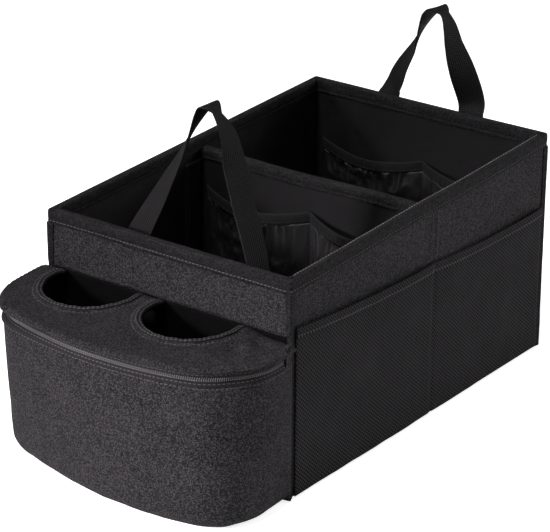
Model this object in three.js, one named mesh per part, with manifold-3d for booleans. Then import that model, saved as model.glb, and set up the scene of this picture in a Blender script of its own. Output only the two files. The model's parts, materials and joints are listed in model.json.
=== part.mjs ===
// A collapsible car trunk organizer: an open two-compartment box of cloth over stiff boards,
// with a zipped pouch in front that has two cup openings in its lid, and two webbing handles.
// Millimetres, +Z up, +X across the front, the pouch points to -Y, origin under the middle.

import * as THREE from 'three';
import { mergeVertices } from 'three/addons/utils/BufferGeometryUtils.js';
import Module from 'manifold-3d';

const wasm = await Module();
wasm.setup();

// Box
const boxWidth = 258;
const boxLength = 391;
const frontHeight = 199.5;
const backHeight = 211.5;
const seamFromFront = 209;

// Sheet goods and the play between sewn pieces
const clothThick = 1.2;
const boardThick = 2.4;
const liningThick = 0.8;
const baseBoardThick = 3;
const gap = 0.3;

// Rim hem, corner seams
const hemThick = 1;
const hemHeight = 13;
const hemCornerRadius = 2;
const cornerLeg = 5;
const cornerThick = 1;

// Divider
const dividerTop = 195.5;
const dividerHemHeight = 10;
const dividerTabWidth = 24;
const dividerTabThick = 1;

// Gathered pockets inside
const pocketThick = 1;
const elasticHeight = 10;
const elasticThick = 1.6;
const pocketFoot = 24;
const dividerPocketTop = 161;
const dividerPocketDepth = 15;
const dividerPocketMargin = 6;
const backPocketTop = 155;
const backPocketDepth = 11;
const backPocketMargin = 8;
const gatherDepth = 2.4;
const gathersPerPocket = 8;

// Mesh pockets outside
const meshThick = 1;
const meshFoot = 1.5;
const meshTopFront = 157;
const meshTopSeam = 146;
const meshTopBack = 142;
const meshSag = 2.5;
const meshHemHeight = 10;
const meshHemThick = 1.4;

// Pouch in front of the box
const pouchReach = 98;
const pouchOverhang = 3;
const pouchBaseReach = 101;
const pouchBaseOverhang = 2;
const pouchCornerRadius = 54;
const pouchFrontRadius = 320;
const pouchThick = 2.2;
const pouchEdgeRadius = 11;

// Lid of the pouch
const lidRise = 4.6;
const lidThick = 2.6;
const lidBandHeight = 1.4;
const lidBandThick = 1.2;

// Cup openings
const cupRadius = 41;
const cupFromWall = 15;
const cupLeftX = -70;
const cupRightX = 38;
const bindingWidth = 6;
const bindingThick = 0.8;

// Zip: its height is where the two coils meet
const zipZ = 133.2;
const zipEndFromWall = 12;
const tapeHeight = 3.2;
const tapeThick = 0.9;
const coilHeight = 1.7;
const coilThick = 2;
const sliderLength = 9;
const sliderWall = 1;
const sliderPlay = 0.4;
const bailHeight = 3.4;
const bailWall = 1.3;
const bailHole = 4;
const bailWidth = 2.4;
const pullLength = 24;
const pullWidth = 6.4;
const pullThick = 1.4;
const pullWindow = 3.9;

// Webbing handles
const webWidth = 25;
const webThick = 1.8;
const footLength = 26;
const twistTurn = -53;
const loopShare = 0.88;
const loopHeight = 0.93;
const fallHeights = [0.955, 0.84, 0.62, 0.36];
const fallShares = [0, 0.17, 0.31, 0.53];
const frontHandle = {
  top: 311, rise: -10.5, foot: -52, spacing: 126, centre: 15, riseLean: 17, lean: 39,
  apex: -0.08, twist: 0.65, twistShare: 0.61, fall: 0.13,
  turns: { rise: -3, loop: -85, apex: -92, fall: -52, middle: -104, settle: -96 },
};
const backHandle = {
  top: 309, rise: 7, foot: -12, spacing: 87, centre: -2.5, riseLean: 8, lean: -8,
  apex: 0.3, twist: 0.53, twistShare: 0.55, fall: 0.26,
  turns: { rise: -26, loop: -100, apex: -99, fall: -66, middle: -96, settle: -156 },
};

// Facets
const cornerSteps = 9;
const frontSteps = 10;
const sideSteps = 2;
const edgeSteps = 6;
const cupSteps = 56;
const handleSteps = 44;
const gatherSteps = 6;
const pocketRows = 5;
const meshSteps = 8;

// Places that follow from the sizes above
const frontY = (pouchReach - boxLength) / 2;
const backY = frontY + boxLength;
const seamY = frontY + seamFromFront;
const half = boxWidth / 2;
const pouchHalf = half + pouchOverhang;
const pouchBaseHalf = half + pouchBaseOverhang;
const boardOut = clothThick + gap;
const boardIn = boardOut + boardThick;
const liningOut = boardIn + gap;
const wallThick = liningOut + liningThick;
const innerHalf = half - wallThick;
const floorZ = clothThick + gap;
const baseTopZ = floorZ + baseBoardThick;
const insideHem = innerHalf - gap - hemThick;
const dividerHalf = boardThick / 2 + gap + clothThick;
const dividerHemHalf = dividerHalf + gap + hemThick;
const pouchBackY = frontY - cornerThick - 2 * gap;

// Levels of the zip, from the pouch's wall up to the lid
const lowerCoilTop = zipZ - gap / 2;
const lowerTapeTop = lowerCoilTop - coilHeight - gap;
const pouchTop = lowerTapeTop - tapeHeight - gap;
const upperCoilTop = lowerCoilTop + gap + coilHeight;
const upperTapeTop = upperCoilTop + gap + tapeHeight;
const bandLow = upperTapeTop + gap;
const lidFrontZ = bandLow + lidBandHeight + gap + lidThick;

// Distances in from the pouch's outer face
const tapeIn = 0.3;
const coilIn = tapeIn + tapeThick - coilThick;

// The slider is parked at the zip's left end, where the side meets the rounded corner
const sliderY = pouchCorner(pouchHalf, pouchReach).cornerY;
const zipLeftY = sliderY + sliderLength / 2 + gap;
const zipRightY = pouchBackY - zipEndFromWall;

const blackCloth = { color: 0x2a2b2d, roughness: 0.85, metalness: 0 };
const meshCloth = { color: 0x1c1d1f, roughness: 0.9, metalness: 0 };
const liningCloth = { color: 0x17181a, roughness: 0.6, metalness: 0 };
const webbing = { color: 0x242527, roughness: 0.8, metalness: 0 };
const tapeCloth = { color: 0x222326, roughness: 0.8, metalness: 0 };
const elastic = { color: 0x1d1e20, roughness: 0.8, metalness: 0 };
const board = { color: 0x3a3a3c, roughness: 0.7, metalness: 0 };
const coilPlastic = { color: 0x1a1a1c, roughness: 0.45, metalness: 0 };
const darkMetal = { color: 0x2c2c2e, roughness: 0.35, metalness: 0.9 };

const organizer = new THREE.Group();

function add(name, geometry, finish) {
  const mesh = new THREE.Mesh(geometry, new THREE.MeshStandardMaterial(finish));
  mesh.name = name;
  organizer.add(mesh);
  return mesh;
}

// The rim rises in a straight line from the front wall to the back wall
function rimZ(y) {
  return frontHeight + (backHeight - frontHeight) * (y - frontY) / boxLength;
}

function wallTop(y) {
  return rimZ(y) - hemThick - gap;
}

// The top of the lid slopes down from the front wall to the front of the pouch
function lidZ(y) {
  return lidFrontZ + lidRise * (1 - (frontY - y) / pouchReach);
}

function boxBetween(low, high) {
  const size = high.map((value, i) => value - low[i]);
  const geometry = new THREE.BoxGeometry(...size);
  geometry.translate(...low.map((value, i) => value + size[i] / 2));
  return geometry;
}

// A profile drawn in the YZ plane, extruded from x0 to x1
function prismAlongX(points, x0, x1) {
  const shape = new THREE.Shape(points.map(([y, z]) => new THREE.Vector2(y, z)));
  const geometry = new THREE.ExtrudeGeometry(shape, { depth: x1 - x0, bevelEnabled: false });
  const turn = new THREE.Matrix4().makeBasis(
    new THREE.Vector3(0, 1, 0), new THREE.Vector3(0, 0, 1), new THREE.Vector3(1, 0, 0));
  geometry.applyMatrix4(turn);
  geometry.translate(x0, 0, 0);
  return geometry;
}

function plate(points, z0, z1) {
  const shape = new THREE.Shape(points.map(([x, y]) => new THREE.Vector2(x, y)));
  const geometry = new THREE.ExtrudeGeometry(shape, { depth: z1 - z0, bevelEnabled: false });
  geometry.translate(0, 0, z0);
  return geometry;
}

// A slab of wall whose top follows the sloping rim
function wallSlab(x0, x1, y0, y1, bottom) {
  return prismAlongX([[y0, bottom], [y1, bottom], [y1, wallTop(y1)], [y0, wallTop(y0)]], x0, x1);
}

function toSolid(geometry) {
  const bare = geometry.clone();
  bare.deleteAttribute('normal');
  bare.deleteAttribute('uv');
  const merged = mergeVertices(bare);
  return new wasm.Manifold(new wasm.Mesh({
    numProp: 3,
    vertProperties: new Float32Array(merged.attributes.position.array),
    triVerts: new Uint32Array(merged.index.array),
  }));
}

function toGeometry(solid) {
  const mesh = solid.getMesh();
  const geometry = new THREE.BufferGeometry();
  geometry.setAttribute('position', new THREE.BufferAttribute(mesh.vertProperties, 3));
  geometry.setIndex(new THREE.BufferAttribute(mesh.triVerts, 1));
  geometry.computeVertexNormals();
  return geometry;
}

function unite(geometries) {
  return geometries.map(toSolid).reduce((all, next) => all.add(next));
}

// Moves each vertex up or down by a height that depends on its place along Y
function follow(geometry, height) {
  const place = geometry.attributes.position;
  for (let i = 0; i < place.count; i += 1) {
    place.setZ(i, place.getZ(i) + height(place.getY(i)));
  }
  geometry.computeVertexNormals();
  return geometry;
}

// A closed sheet between two grids of points that have the same rows and columns
function sheetBetween(outer, inner) {
  const rows = outer.length;
  const columns = outer[0].length;
  const points = [...outer.flat(), ...inner.flat()];
  const at = (side, row, column) => (side * rows + row) * columns + column;
  const faces = [];
  const quad = (a, b, c, d) => faces.push(a, b, c, a, c, d);
  for (let r = 0; r < rows - 1; r += 1) {
    for (let c = 0; c < columns - 1; c += 1) {
      quad(at(0, r, c), at(0, r, c + 1), at(0, r + 1, c + 1), at(0, r + 1, c));
      quad(at(1, r, c), at(1, r + 1, c), at(1, r + 1, c + 1), at(1, r, c + 1));
    }
    quad(at(0, r, 0), at(0, r + 1, 0), at(1, r + 1, 0), at(1, r, 0));
    quad(at(0, r + 1, columns - 1), at(0, r, columns - 1),
      at(1, r, columns - 1), at(1, r + 1, columns - 1));
  }
  for (let c = 0; c < columns - 1; c += 1) {
    quad(at(0, 0, c + 1), at(0, 0, c), at(1, 0, c), at(1, 0, c + 1));
    quad(at(0, rows - 1, c), at(0, rows - 1, c + 1),
      at(1, rows - 1, c + 1), at(1, rows - 1, c));
  }
  let volume = 0;
  for (let i = 0; i < faces.length; i += 3) {
    const [a, b, c] = [points[faces[i]], points[faces[i + 1]], points[faces[i + 2]]]
      .map((p) => new THREE.Vector3(...p));
    volume += a.dot(b.cross(c));
  }
  if (volume < 0) {
    faces.reverse();
  }
  const geometry = new THREE.BufferGeometry();
  geometry.setAttribute('position', new THREE.Float32BufferAttribute(points.flat(), 3));
  geometry.setIndex(faces);
  geometry.computeVertexNormals();
  return geometry;
}

// Box: bottom, walls, boards and lining
function addBox() {
  add('bottom_panel', boxBetween([-half, frontY, 0], [half, backY, clothThick]), blackCloth);

  const endHalf = half - clothThick - gap;
  const ends = [
    { name: 'front', at: frontY, inward: 1 },
    { name: 'back', at: backY, inward: -1 },
  ];
  for (const { name, at, inward } of ends) {
    const span = (near, far) => [at + inward * near, at + inward * far].sort((a, b) => a - b);
    add(`${name}_panel`, wallSlab(-endHalf, endHalf, ...span(0, clothThick), floorZ), blackCloth);
    const boardHalf = half - boardIn - gap;
    add(`${name}_board`, wallSlab(-boardHalf, boardHalf, ...span(boardOut, boardIn), floorZ), board);
    const liningHalf = innerHalf - gap;
    add(`${name}_lining`,
      wallSlab(-liningHalf, liningHalf, ...span(liningOut, wallThick), floorZ), liningCloth);
  }

  const sides = [{ name: 'left', sign: -1 }, { name: 'right', sign: 1 }];
  for (const { name, sign } of sides) {
    const span = (near, far) => [sign * (half - near), sign * (half - far)].sort((a, b) => a - b);
    add(`${name}_panel`, wallSlab(...span(0, clothThick), frontY, backY, floorZ), blackCloth);
    add(`${name}_front_board`,
      wallSlab(...span(boardOut, boardIn), frontY + boardOut, seamY - gap, floorZ), board);
    add(`${name}_rear_board`,
      wallSlab(...span(boardOut, boardIn), seamY + gap, backY - boardOut, floorZ), board);
    add(`${name}_lining`,
      wallSlab(...span(liningOut, wallThick), frontY + liningOut, backY - liningOut, floorZ),
      liningCloth);
  }

  const baseHalf = innerHalf - gap;
  add('front_base_board', boxBetween(
    [-baseHalf, frontY + wallThick + gap, floorZ], [baseHalf, seamY - gap, baseTopZ]), board);
  add('rear_base_board', boxBetween(
    [-baseHalf, seamY + gap, floorZ], [baseHalf, backY - wallThick - gap, baseTopZ]), board);
}

function roundedRectangle(xHalf, y0, y1, radius) {
  const points = [];
  const corners = [
    [xHalf - radius, y0 + radius, -Math.PI / 2],
    [xHalf - radius, y1 - radius, 0],
    [-xHalf + radius, y1 - radius, Math.PI / 2],
    [-xHalf + radius, y0 + radius, Math.PI],
  ];
  const steps = 5;
  for (const [x, y, start] of corners) {
    for (let i = 0; i <= steps; i += 1) {
      const angle = start + i / steps * Math.PI / 2;
      points.push([x + radius * Math.cos(angle), y + radius * Math.sin(angle)]);
    }
  }
  return points;
}

function rectangle(xHalf, y0, y1) {
  return [[-xHalf, y0], [xHalf, y0], [xHalf, y1], [-xHalf, y1]];
}

// The folded tape over the top of all four walls
function addRimHem() {
  const out = gap + hemThick;
  const inside = wallThick + out;
  const body = toSolid(plate(
    roundedRectangle(half + out, frontY - out, backY + out, hemCornerRadius), -hemHeight, 0));
  const past = hemThick;
  const hollow = toSolid(plate(
    rectangle(half - inside, frontY + inside, backY - inside), -hemHeight - past, past));
  const wallRing = toSolid(plate(
    rectangle(half + gap, frontY - gap, backY + gap), -hemHeight - past, -hemThick))
    .subtract(toSolid(plate(
      rectangle(innerHalf - gap, frontY + wallThick + gap, backY - wallThick - gap),
      -hemHeight - past - past, 0)));
  const hem = toGeometry(body.subtract(hollow).subtract(wallRing));
  add('rim_hem', follow(hem, rimZ), blackCloth);
}

// Narrow bindings that cover the four vertical seams of the box
function addCornerSeams() {
  const near = gap;
  const far = gap + cornerThick;
  for (const [end, y, outY] of [['front', frontY, -1], ['back', backY, 1]]) {
    for (const [side, sign] of [['left', -1], ['right', 1]]) {
      const x = (distance) => sign * (half + distance);
      const yy = (distance) => y + outY * distance;
      const outline = [
        [x(-cornerLeg), yy(near)], [x(near), yy(near)], [x(near), yy(-cornerLeg)],
        [x(far), yy(-cornerLeg)], [x(far), yy(far)], [x(-cornerLeg), yy(far)],
      ];
      const top = rimZ(Math.min(y, yy(-cornerLeg))) - hemHeight - gap;
      add(`${end}_${side}_corner_seam`, plate(outline, floorZ, top), blackCloth);
    }
  }
}

// Divider: a board in a cloth sleeve with a hem over its top and a tab at each end
function addDivider() {
  const bottom = baseTopZ + gap;
  const sleeveTop = dividerTop - hemThick - gap;
  const archProfile = (outHalf, wall, low, top) => [
    [seamY - outHalf, low], [seamY - outHalf + wall, low], [seamY - outHalf + wall, top - wall],
    [seamY + outHalf - wall, top - wall], [seamY + outHalf - wall, low], [seamY + outHalf, low],
    [seamY + outHalf, top], [seamY - outHalf, top],
  ];
  const reach = insideHem - gap;
  add('divider_cover',
    prismAlongX(archProfile(dividerHalf, clothThick, bottom, sleeveTop), -reach, reach), liningCloth);
  add('divider_board', boxBetween(
    [-reach, seamY - boardThick / 2, bottom],
    [reach, seamY + boardThick / 2, sleeveTop - clothThick - gap]), board);
  add('divider_hem', prismAlongX(
    archProfile(dividerHemHalf, hemThick, dividerTop - dividerHemHeight, dividerTop),
    -reach, reach), blackCloth);
  const tabEnd = seamY - dividerHemHalf - gap;
  for (const [name, sign] of [['left', -1], ['right', 1]]) {
    const tabX = innerHalf - gap;
    const xs = [sign * (tabX - dividerTabThick), sign * tabX].sort((a, b) => a - b);
    add(`divider_${name}_tab`, boxBetween(
      [xs[0], tabEnd - dividerTabWidth, bottom],
      [xs[1], tabEnd, dividerTop - dividerHemHeight]), liningCloth);
  }
}

// Distance of a gathered pocket from the wall behind it, along the pocket's width
function gatheredBulge(share, pockets, depth, waveDepth) {
  const place = share * pockets;
  const within = place - Math.min(Math.floor(place), pockets - 1);
  const swell = Math.sin(Math.PI * within);
  const wave = (1 - Math.cos(2 * Math.PI * gathersPerPocket * within)) / 2;
  return depth * swell ** 0.8 + waveDepth * wave * swell ** 0.5;
}

// A pocket whose cloth is gathered under an elastic top, sewn down at its ends and middle
function addGatheredPocket(name, { pockets, faceY, outward, xHalf, top, depth }) {
  const columns = pockets * gathersPerPocket * gatherSteps;
  const clothTop = top - elasticHeight - gap;
  const grid = (low, high, rows, thick, reachOf, waveDepth) => {
    const row = (r, extra) => {
      const height = low + (high - low) * r / rows;
      return Array.from({ length: columns + 1 }, (unused, c) => {
        const share = c / columns;
        const swell = gatheredBulge(share, pockets, depth, waveDepth) * reachOf(r / rows);
        return [-xHalf + 2 * xHalf * share, faceY + outward * (gap + swell + extra), height];
      });
    };
    const side = (extra) => Array.from({ length: rows + 1 }, (unused, r) => row(r, extra));
    return sheetBetween(side(thick), side(0));
  };
  add(`${name}_pocket`,
    grid(pocketFoot, clothTop, pocketRows, pocketThick, (v) => 1 - (1 - v) ** 2, gatherDepth),
    liningCloth);
  add(`${name}_pocket_elastic`,
    grid(clothTop + gap, top, 1, elasticThick, () => 1, gatherDepth / 2), elastic);
}

// Height of the mesh pocket's top edge: a straight line in each half with a little sag
function meshTopZ(y) {
  const inFront = y < seamY;
  const [y0, y1] = inFront ? [frontY, seamY] : [seamY, backY];
  const [z0, z1] = inFront ? [meshTopFront, meshTopSeam] : [meshTopSeam, meshTopBack];
  const share = (y - y0) / (y1 - y0);
  return z0 + (z1 - z0) * share - meshSag * 4 * share * (1 - share);
}

function addMeshPockets() {
  const start = frontY + cornerLeg + gap;
  const end = backY - cornerLeg - gap;
  const ys = [];
  for (const [y0, y1] of [[start, seamY], [seamY, end]]) {
    for (let i = ys.length ? 1 : 0; i <= meshSteps; i += 1) {
      ys.push(y0 + (y1 - y0) * i / meshSteps);
    }
  }
  const outline = (low, high) => [
    ...ys.map((y) => [y, low(y)]),
    ...[...ys].reverse().map((y) => [y, high(y)]),
  ];
  const clothTop = (y) => meshTopZ(y) - meshHemHeight - gap;
  for (const [name, sign] of [['left', -1], ['right', 1]]) {
    const span = (near, far) => [sign * (half + near), sign * (half + far)].sort((a, b) => a - b);
    add(`${name}_mesh_pocket`,
      prismAlongX(outline(() => meshFoot, clothTop), ...span(gap, gap + meshThick)), meshCloth);
    add(`${name}_mesh_hem`,
      prismAlongX(outline((y) => clothTop(y) + gap, meshTopZ), ...span(gap, gap + meshHemThick)),
      tapeCloth);
  }
}

// Centres of the pouch's corner and front arcs, and half the angle of the front arc
function pouchCorner(xHalf, reach) {
  const cornerX = xHalf - pouchCornerRadius;
  const frontCentreY = frontY - reach + pouchFrontRadius;
  const between = pouchFrontRadius - pouchCornerRadius;
  const cornerY = frontCentreY - Math.sqrt(between ** 2 - cornerX ** 2);
  return { cornerX, cornerY, frontCentreY, turn: Math.asin(cornerX / between) };
}

// Stations along the pouch's D-shaped outline: side, corner, bowed front, corner, side.
// Each has a point on the outer face and the direction that points out of the pouch.
// The left end may lie in the corner.
function pouchStations(xHalf, reach, leftY, rightY) {
  const { cornerX, cornerY, frontCentreY, turn } = pouchCorner(xHalf, reach);
  const down = -Math.PI / 2;
  const stations = [];
  const arc = (x, y, radius, from, to, steps, skipFirst) => {
    for (let i = skipFirst ? 1 : 0; i <= steps; i += 1) {
      const angle = from + (to - from) * i / steps;
      const out = [Math.cos(angle), Math.sin(angle)];
      stations.push({ at: [x + radius * out[0], y + radius * out[1]], out });
    }
  };
  const side = (sign, y0, y1) => {
    for (let i = 0; i < sideSteps; i += 1) {
      stations.push({ at: [sign * xHalf, y0 + (y1 - y0) * i / sideSteps], out: [sign, 0] });
    }
  };
  if (leftY > cornerY) {
    side(-1, leftY, cornerY);
  }
  const skipped = Math.asin(Math.max(0, cornerY - leftY) / pouchCornerRadius);
  arc(-cornerX, cornerY, pouchCornerRadius, skipped - Math.PI, down - turn, cornerSteps, false);
  arc(0, frontCentreY, pouchFrontRadius, down - turn, down + turn, frontSteps, true);
  arc(cornerX, cornerY, pouchCornerRadius, down + turn, 0, cornerSteps, true);
  for (let i = 1; i <= sideSteps; i += 1) {
    stations.push({ at: [xHalf, cornerY + (rightY - cornerY) * i / sideSteps], out: [1, 0] });
  }
  return stations;
}

function insetPoint({ at, out }, inset) {
  return [at[0] - out[0] * inset, at[1] - out[1] * inset];
}

// A strip that runs along the pouch's outline between two heights
function outlineStrip(lowZ, highZ, inset, thick, leftY, rightY) {
  const stations = pouchStations(pouchHalf, pouchReach, leftY, rightY);
  const rows = (depth) => [lowZ, highZ].map((height) => stations.map((station) => {
    const [x, y] = insetPoint(station, depth);
    return [x, y, height(y)];
  }));
  return sheetBetween(rows(inset), rows(inset + thick));
}

// Sizes of the pouch at a height: it tapers to its base, whose edge is rounded
function pouchSection(z) {
  const share = z / pouchTop;
  const xHalf = pouchBaseHalf + (pouchHalf - pouchBaseHalf) * share;
  const reach = pouchBaseReach + (pouchReach - pouchBaseReach) * share;
  const below = Math.max(0, pouchEdgeRadius - z);
  const round = pouchEdgeRadius - Math.sqrt(pouchEdgeRadius ** 2 - below ** 2);
  return { xHalf, reach, round };
}

function addPouch() {
  const levels = [];
  for (let i = 0; i <= edgeSteps; i += 1) {
    levels.push(pouchEdgeRadius * (1 - Math.cos(i / edgeSteps * Math.PI / 2)));
  }
  const wallSteps = 4;
  for (let i = 1; i <= wallSteps; i += 1) {
    levels.push(pouchEdgeRadius + (pouchTop - pouchEdgeRadius) * i / wallSteps);
  }
  const rows = (depth) => levels.map((level) => {
    const { xHalf, reach, round } = pouchSection(level);
    return pouchStations(xHalf, reach, pouchBackY, pouchBackY).map((station) => {
      const [x, y] = insetPoint(station, round + depth);
      return [x, y, level + lowerLift(level, depth)];
    });
  });
  add('pouch_wall', sheetBetween(rows(0), rows(pouchThick)), blackCloth);

  const { xHalf, reach } = pouchSection(0);
  const baseInset = pouchEdgeRadius + pouchThick + gap;
  const base = pouchStations(xHalf, reach, pouchBackY, pouchBackY)
    .map((station) => insetPoint(station, baseInset));
  add('pouch_base', plate(base, 0, pouchThick), blackCloth);

  for (const [name, sign, end] of [['left', -1, zipLeftY], ['right', 1, zipRightY]]) {
    const xs = [sign * pouchHalf, sign * (pouchHalf - clothThick)].sort((a, b) => a - b);
    const y0 = end + gap;
    const tab = prismAlongX([
      [y0, pouchTop + gap], [pouchBackY, pouchTop + gap],
      [pouchBackY, lidZ(pouchBackY) - lidThick - gap], [y0, lidZ(y0) - lidThick - gap],
    ], ...xs);
    add(`zip_${name}_end_tab`, tab, tapeCloth);
  }
}

// Inside the rounded edge the inner face lies above the outer face by the cloth's thickness
function lowerLift(level, depth) {
  const share = Math.max(0, 1 - level / pouchEdgeRadius);
  return depth * share;
}

function addLid() {
  const endY = pouchBackY;
  const hingeY = frontY - gap;
  const under = -lidThick;
  const notchX = half - cornerLeg - gap;
  const around = pouchStations(pouchHalf, pouchReach, endY, endY).map(({ at }) => at);
  const outline = [...around, [notchX, endY], [notchX, hingeY], [-notchX, hingeY], [-notchX, endY]];
  let panel = toSolid(plate(outline, under, 0));
  for (const [name, x] of [['left', cupLeftX], ['right', cupRightX]]) {
    const cutter = new THREE.CylinderGeometry(
      cupRadius + bindingThick + gap, cupRadius + bindingThick + gap, lidThick * 4, cupSteps);
    cutter.rotateX(Math.PI / 2);
    cutter.translate(x, frontY - cupFromWall, 0);
    panel = panel.subtract(toSolid(cutter));

    const top = gap + bindingThick;
    const low = under - gap - bindingThick;
    const inner = cupRadius;
    const outer = cupRadius + bindingWidth;
    const profile = [
      [inner, low], [outer, low], [outer, low + bindingThick], [inner + bindingThick, low + bindingThick],
      [inner + bindingThick, top - bindingThick], [outer, top - bindingThick], [outer, top],
      [inner, top], [inner, low],
    ].map(([radius, z]) => new THREE.Vector2(radius, z));
    const ring = new THREE.LatheGeometry(profile, cupSteps);
    ring.rotateX(Math.PI / 2);
    ring.translate(x, frontY - cupFromWall, 0);
    const reach = 2 * outer;
    const inFront = boxBetween(
      [x - reach, frontY - cupFromWall - reach, -reach], [x + reach, hingeY, reach]);
    const arc = toGeometry(toSolid(ring).intersect(toSolid(inFront)));
    add(`${name}_cup_binding`, follow(arc, lidZ), tapeCloth);
  }
  add('lid_panel', follow(toGeometry(panel), lidZ), blackCloth);
}

function addZip() {
  const strip = (top, height, inset, thick, leftY = zipLeftY) => outlineStrip(
    () => top - height, () => top, inset, thick, leftY, zipRightY);
  const pastSlider = sliderY - sliderLength / 2 - 2 * gap;
  add('lid_band', outlineStrip(() => bandLow, (y) => lidZ(y) - lidThick - gap,
    0, lidBandThick, zipLeftY, zipRightY), blackCloth);
  add('zip_upper_tape', strip(upperTapeTop, tapeHeight, tapeIn, tapeThick), tapeCloth);
  add('zip_upper_coil', strip(upperCoilTop, coilHeight, coilIn, coilThick, pastSlider), coilPlastic);
  add('zip_lower_coil', strip(lowerCoilTop, coilHeight, coilIn, coilThick), coilPlastic);
  add('zip_lower_tape', strip(lowerTapeTop, tapeHeight, tapeIn, tapeThick), tapeCloth);
}

// The slider is a channel round both coils with a bail on it; the pull swings in the bail
function addSlider() {
  const outX = -pouchHalf + coilIn - sliderPlay;
  const plateX = outX - sliderWall;
  const bailX = plateX - bailHeight;
  const highZ = upperCoilTop + sliderPlay;
  const lowZ = lowerCoilTop - coilHeight - sliderPlay;
  const midZ = (highZ + lowZ) / 2;
  const y0 = sliderY - sliderLength / 2;
  const y1 = y0 + sliderLength;
  const lipX = -pouchHalf + tapeIn - gap;
  const bailHalf = bailHole / 2 + bailWall;
  const block = (xs, ys, zs) => boxBetween([xs[0], ys[0], zs[0]], [xs[1], ys[1], zs[1]]);
  const channel = unite([
    block([plateX, outX], [y0, y1], [lowZ - sliderWall, highZ + sliderWall]),
    block([outX - gap, lipX], [y0, y1], [highZ, highZ + sliderWall]),
    block([outX - gap, lipX], [y0, y1], [lowZ - sliderWall, lowZ]),
    block([bailX, plateX + gap], [sliderY - bailHalf, sliderY + bailHalf],
      [midZ - bailWidth / 2, midZ + bailWidth / 2]),
  ]);
  const hole = block([bailX + bailWall, plateX], [sliderY - bailHole / 2, sliderY + bailHole / 2],
    [midZ - bailWidth, midZ + bailWidth]);
  add('zip_slider', toGeometry(channel.subtract(toSolid(hole))), darkMetal);

  const pinX = (plateX + bailX + bailWall) / 2;
  const pinHalf = pullThick / 2;
  const tab = toSolid(block([pinX - pinHalf, pinX + pinHalf],
    [sliderY - pinHalf, sliderY + pullLength], [midZ - pullWidth / 2, midZ + pullWidth / 2]));
  const windowHalf = bailWidth / 2 + sliderPlay;
  const window = block([pinX - pullThick, pinX + pullThick],
    [sliderY + pinHalf, sliderY + pinHalf + pullWindow], [midZ - windowHalf, midZ + windowHalf]);
  add('zip_pull', toGeometry(tab.subtract(toSolid(window))), darkMetal);
}

// A strap of webbing through stations, each with a centre and the direction of its width in plan
function strap(stations) {
  const [, footY] = stations[0].at;
  const footZ = stations[1].at[2];
  const vectors = stations.map(({ at }) => new THREE.Vector3(...at));
  const curve = new THREE.CatmullRomCurve3(vectors, false, 'centripetal');
  const faces = [[], []];
  for (let i = 0; i <= handleSteps; i += 1) {
    const t = i / handleSteps;
    const place = t * (stations.length - 1);
    const from = Math.min(Math.floor(place), stations.length - 2);
    const share = place - from;
    const turn = stations[from].turn + (stations[from + 1].turn - stations[from].turn) * share;
    const angle = THREE.MathUtils.degToRad(turn);
    const centre = curve.getPoint(t);
    const along = curve.getTangent(t);
    if (centre.z < footZ || centre.y < footY && centre.z < stations[3].at[2]) {
      centre.y = footY;
      along.y = 0;
    }
    const across = new THREE.Vector3(Math.cos(angle), Math.sin(angle), 0);
    across.addScaledVector(along, -across.dot(along)).normalize();
    const normal = new THREE.Vector3().crossVectors(along, across).normalize();
    [webThick / 2, -webThick / 2].forEach((off, side) => {
      faces[side].push([-webWidth / 2, webWidth / 2].map((shift) => centre.clone()
        .addScaledVector(across, shift).addScaledVector(normal, off).toArray()));
    });
  }
  return sheetBetween(faces[0], faces[1]);
}

// A handle turns half round from foot to foot, so that its top lies across the loop.
// Heights of the foot and the rise are measured from the rim, shares of the spread from the middle.
function handleStations({ faceY, rimHeight, handle }) {
  const { top, spacing, centre, riseLean, lean, apex, twist, twistShare, fall, turns } = handle;
  const { lerp } = THREE.MathUtils;
  const spread = spacing / 2;
  const riseZ = rimHeight + handle.rise;
  const footZ = rimHeight + handle.foot;
  const flare = spread * (riseZ - footZ) / (top - riseZ) / 2;
  const foot = (side, z, turn) => ({ at: [centre + side * (spread + flare), faceY, z], turn });
  const settled = (side, turn) => ({
    at: [centre + side * (spread + flare / 2), faceY + riseLean / 2, (riseZ + footZ) / 2],
    turn,
  });
  const place = (share, height, turn) => ({
    at: [
      centre + spread * share,
      faceY + lerp(riseLean, lean, Math.sin(height * Math.PI / 2)),
      lerp(riseZ, top, height),
    ],
    turn,
  });
  const leftLeg = (share, height, turn) => place(lerp(-1, apex, share), height, turn);
  const fallTurns = [
    turns.fall,
    lerp(turns.fall, turns.middle, 0.5),
    turns.middle,
    lerp(turns.middle, turns.settle, 0.5),
  ];
  return [
    foot(-1, footZ - footLength, 0),
    foot(-1, footZ, 0),
    settled(-1, turns.rise / 4),
    leftLeg(0, 0, turns.rise),
    leftLeg(twistShare * 0.48, twist / 2, lerp(turns.rise, twistTurn, 0.5)),
    leftLeg(twistShare, twist, twistTurn),
    leftLeg(loopShare, loopHeight, turns.loop),
    place(apex, 1, turns.apex),
    ...fallTurns.map((turn, i) => place(lerp(apex, 1, fall + fallShares[i]), fallHeights[i], turn)),
    place(1, 0, turns.settle),
    settled(1, lerp(turns.settle, -180, 0.75)),
    foot(1, footZ, -180),
    foot(1, footZ - footLength, -180),
  ];
}

function addHandles() {
  add('front_handle', strap(handleStations({
    faceY: frontY + wallThick + gap + webThick / 2, rimHeight: frontHeight, handle: frontHandle,
  })), webbing);
  add('back_handle', strap(handleStations({
    faceY: backY + gap + hemThick + gap + webThick / 2, rimHeight: backHeight, handle: backHandle,
  })), webbing);
}

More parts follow.
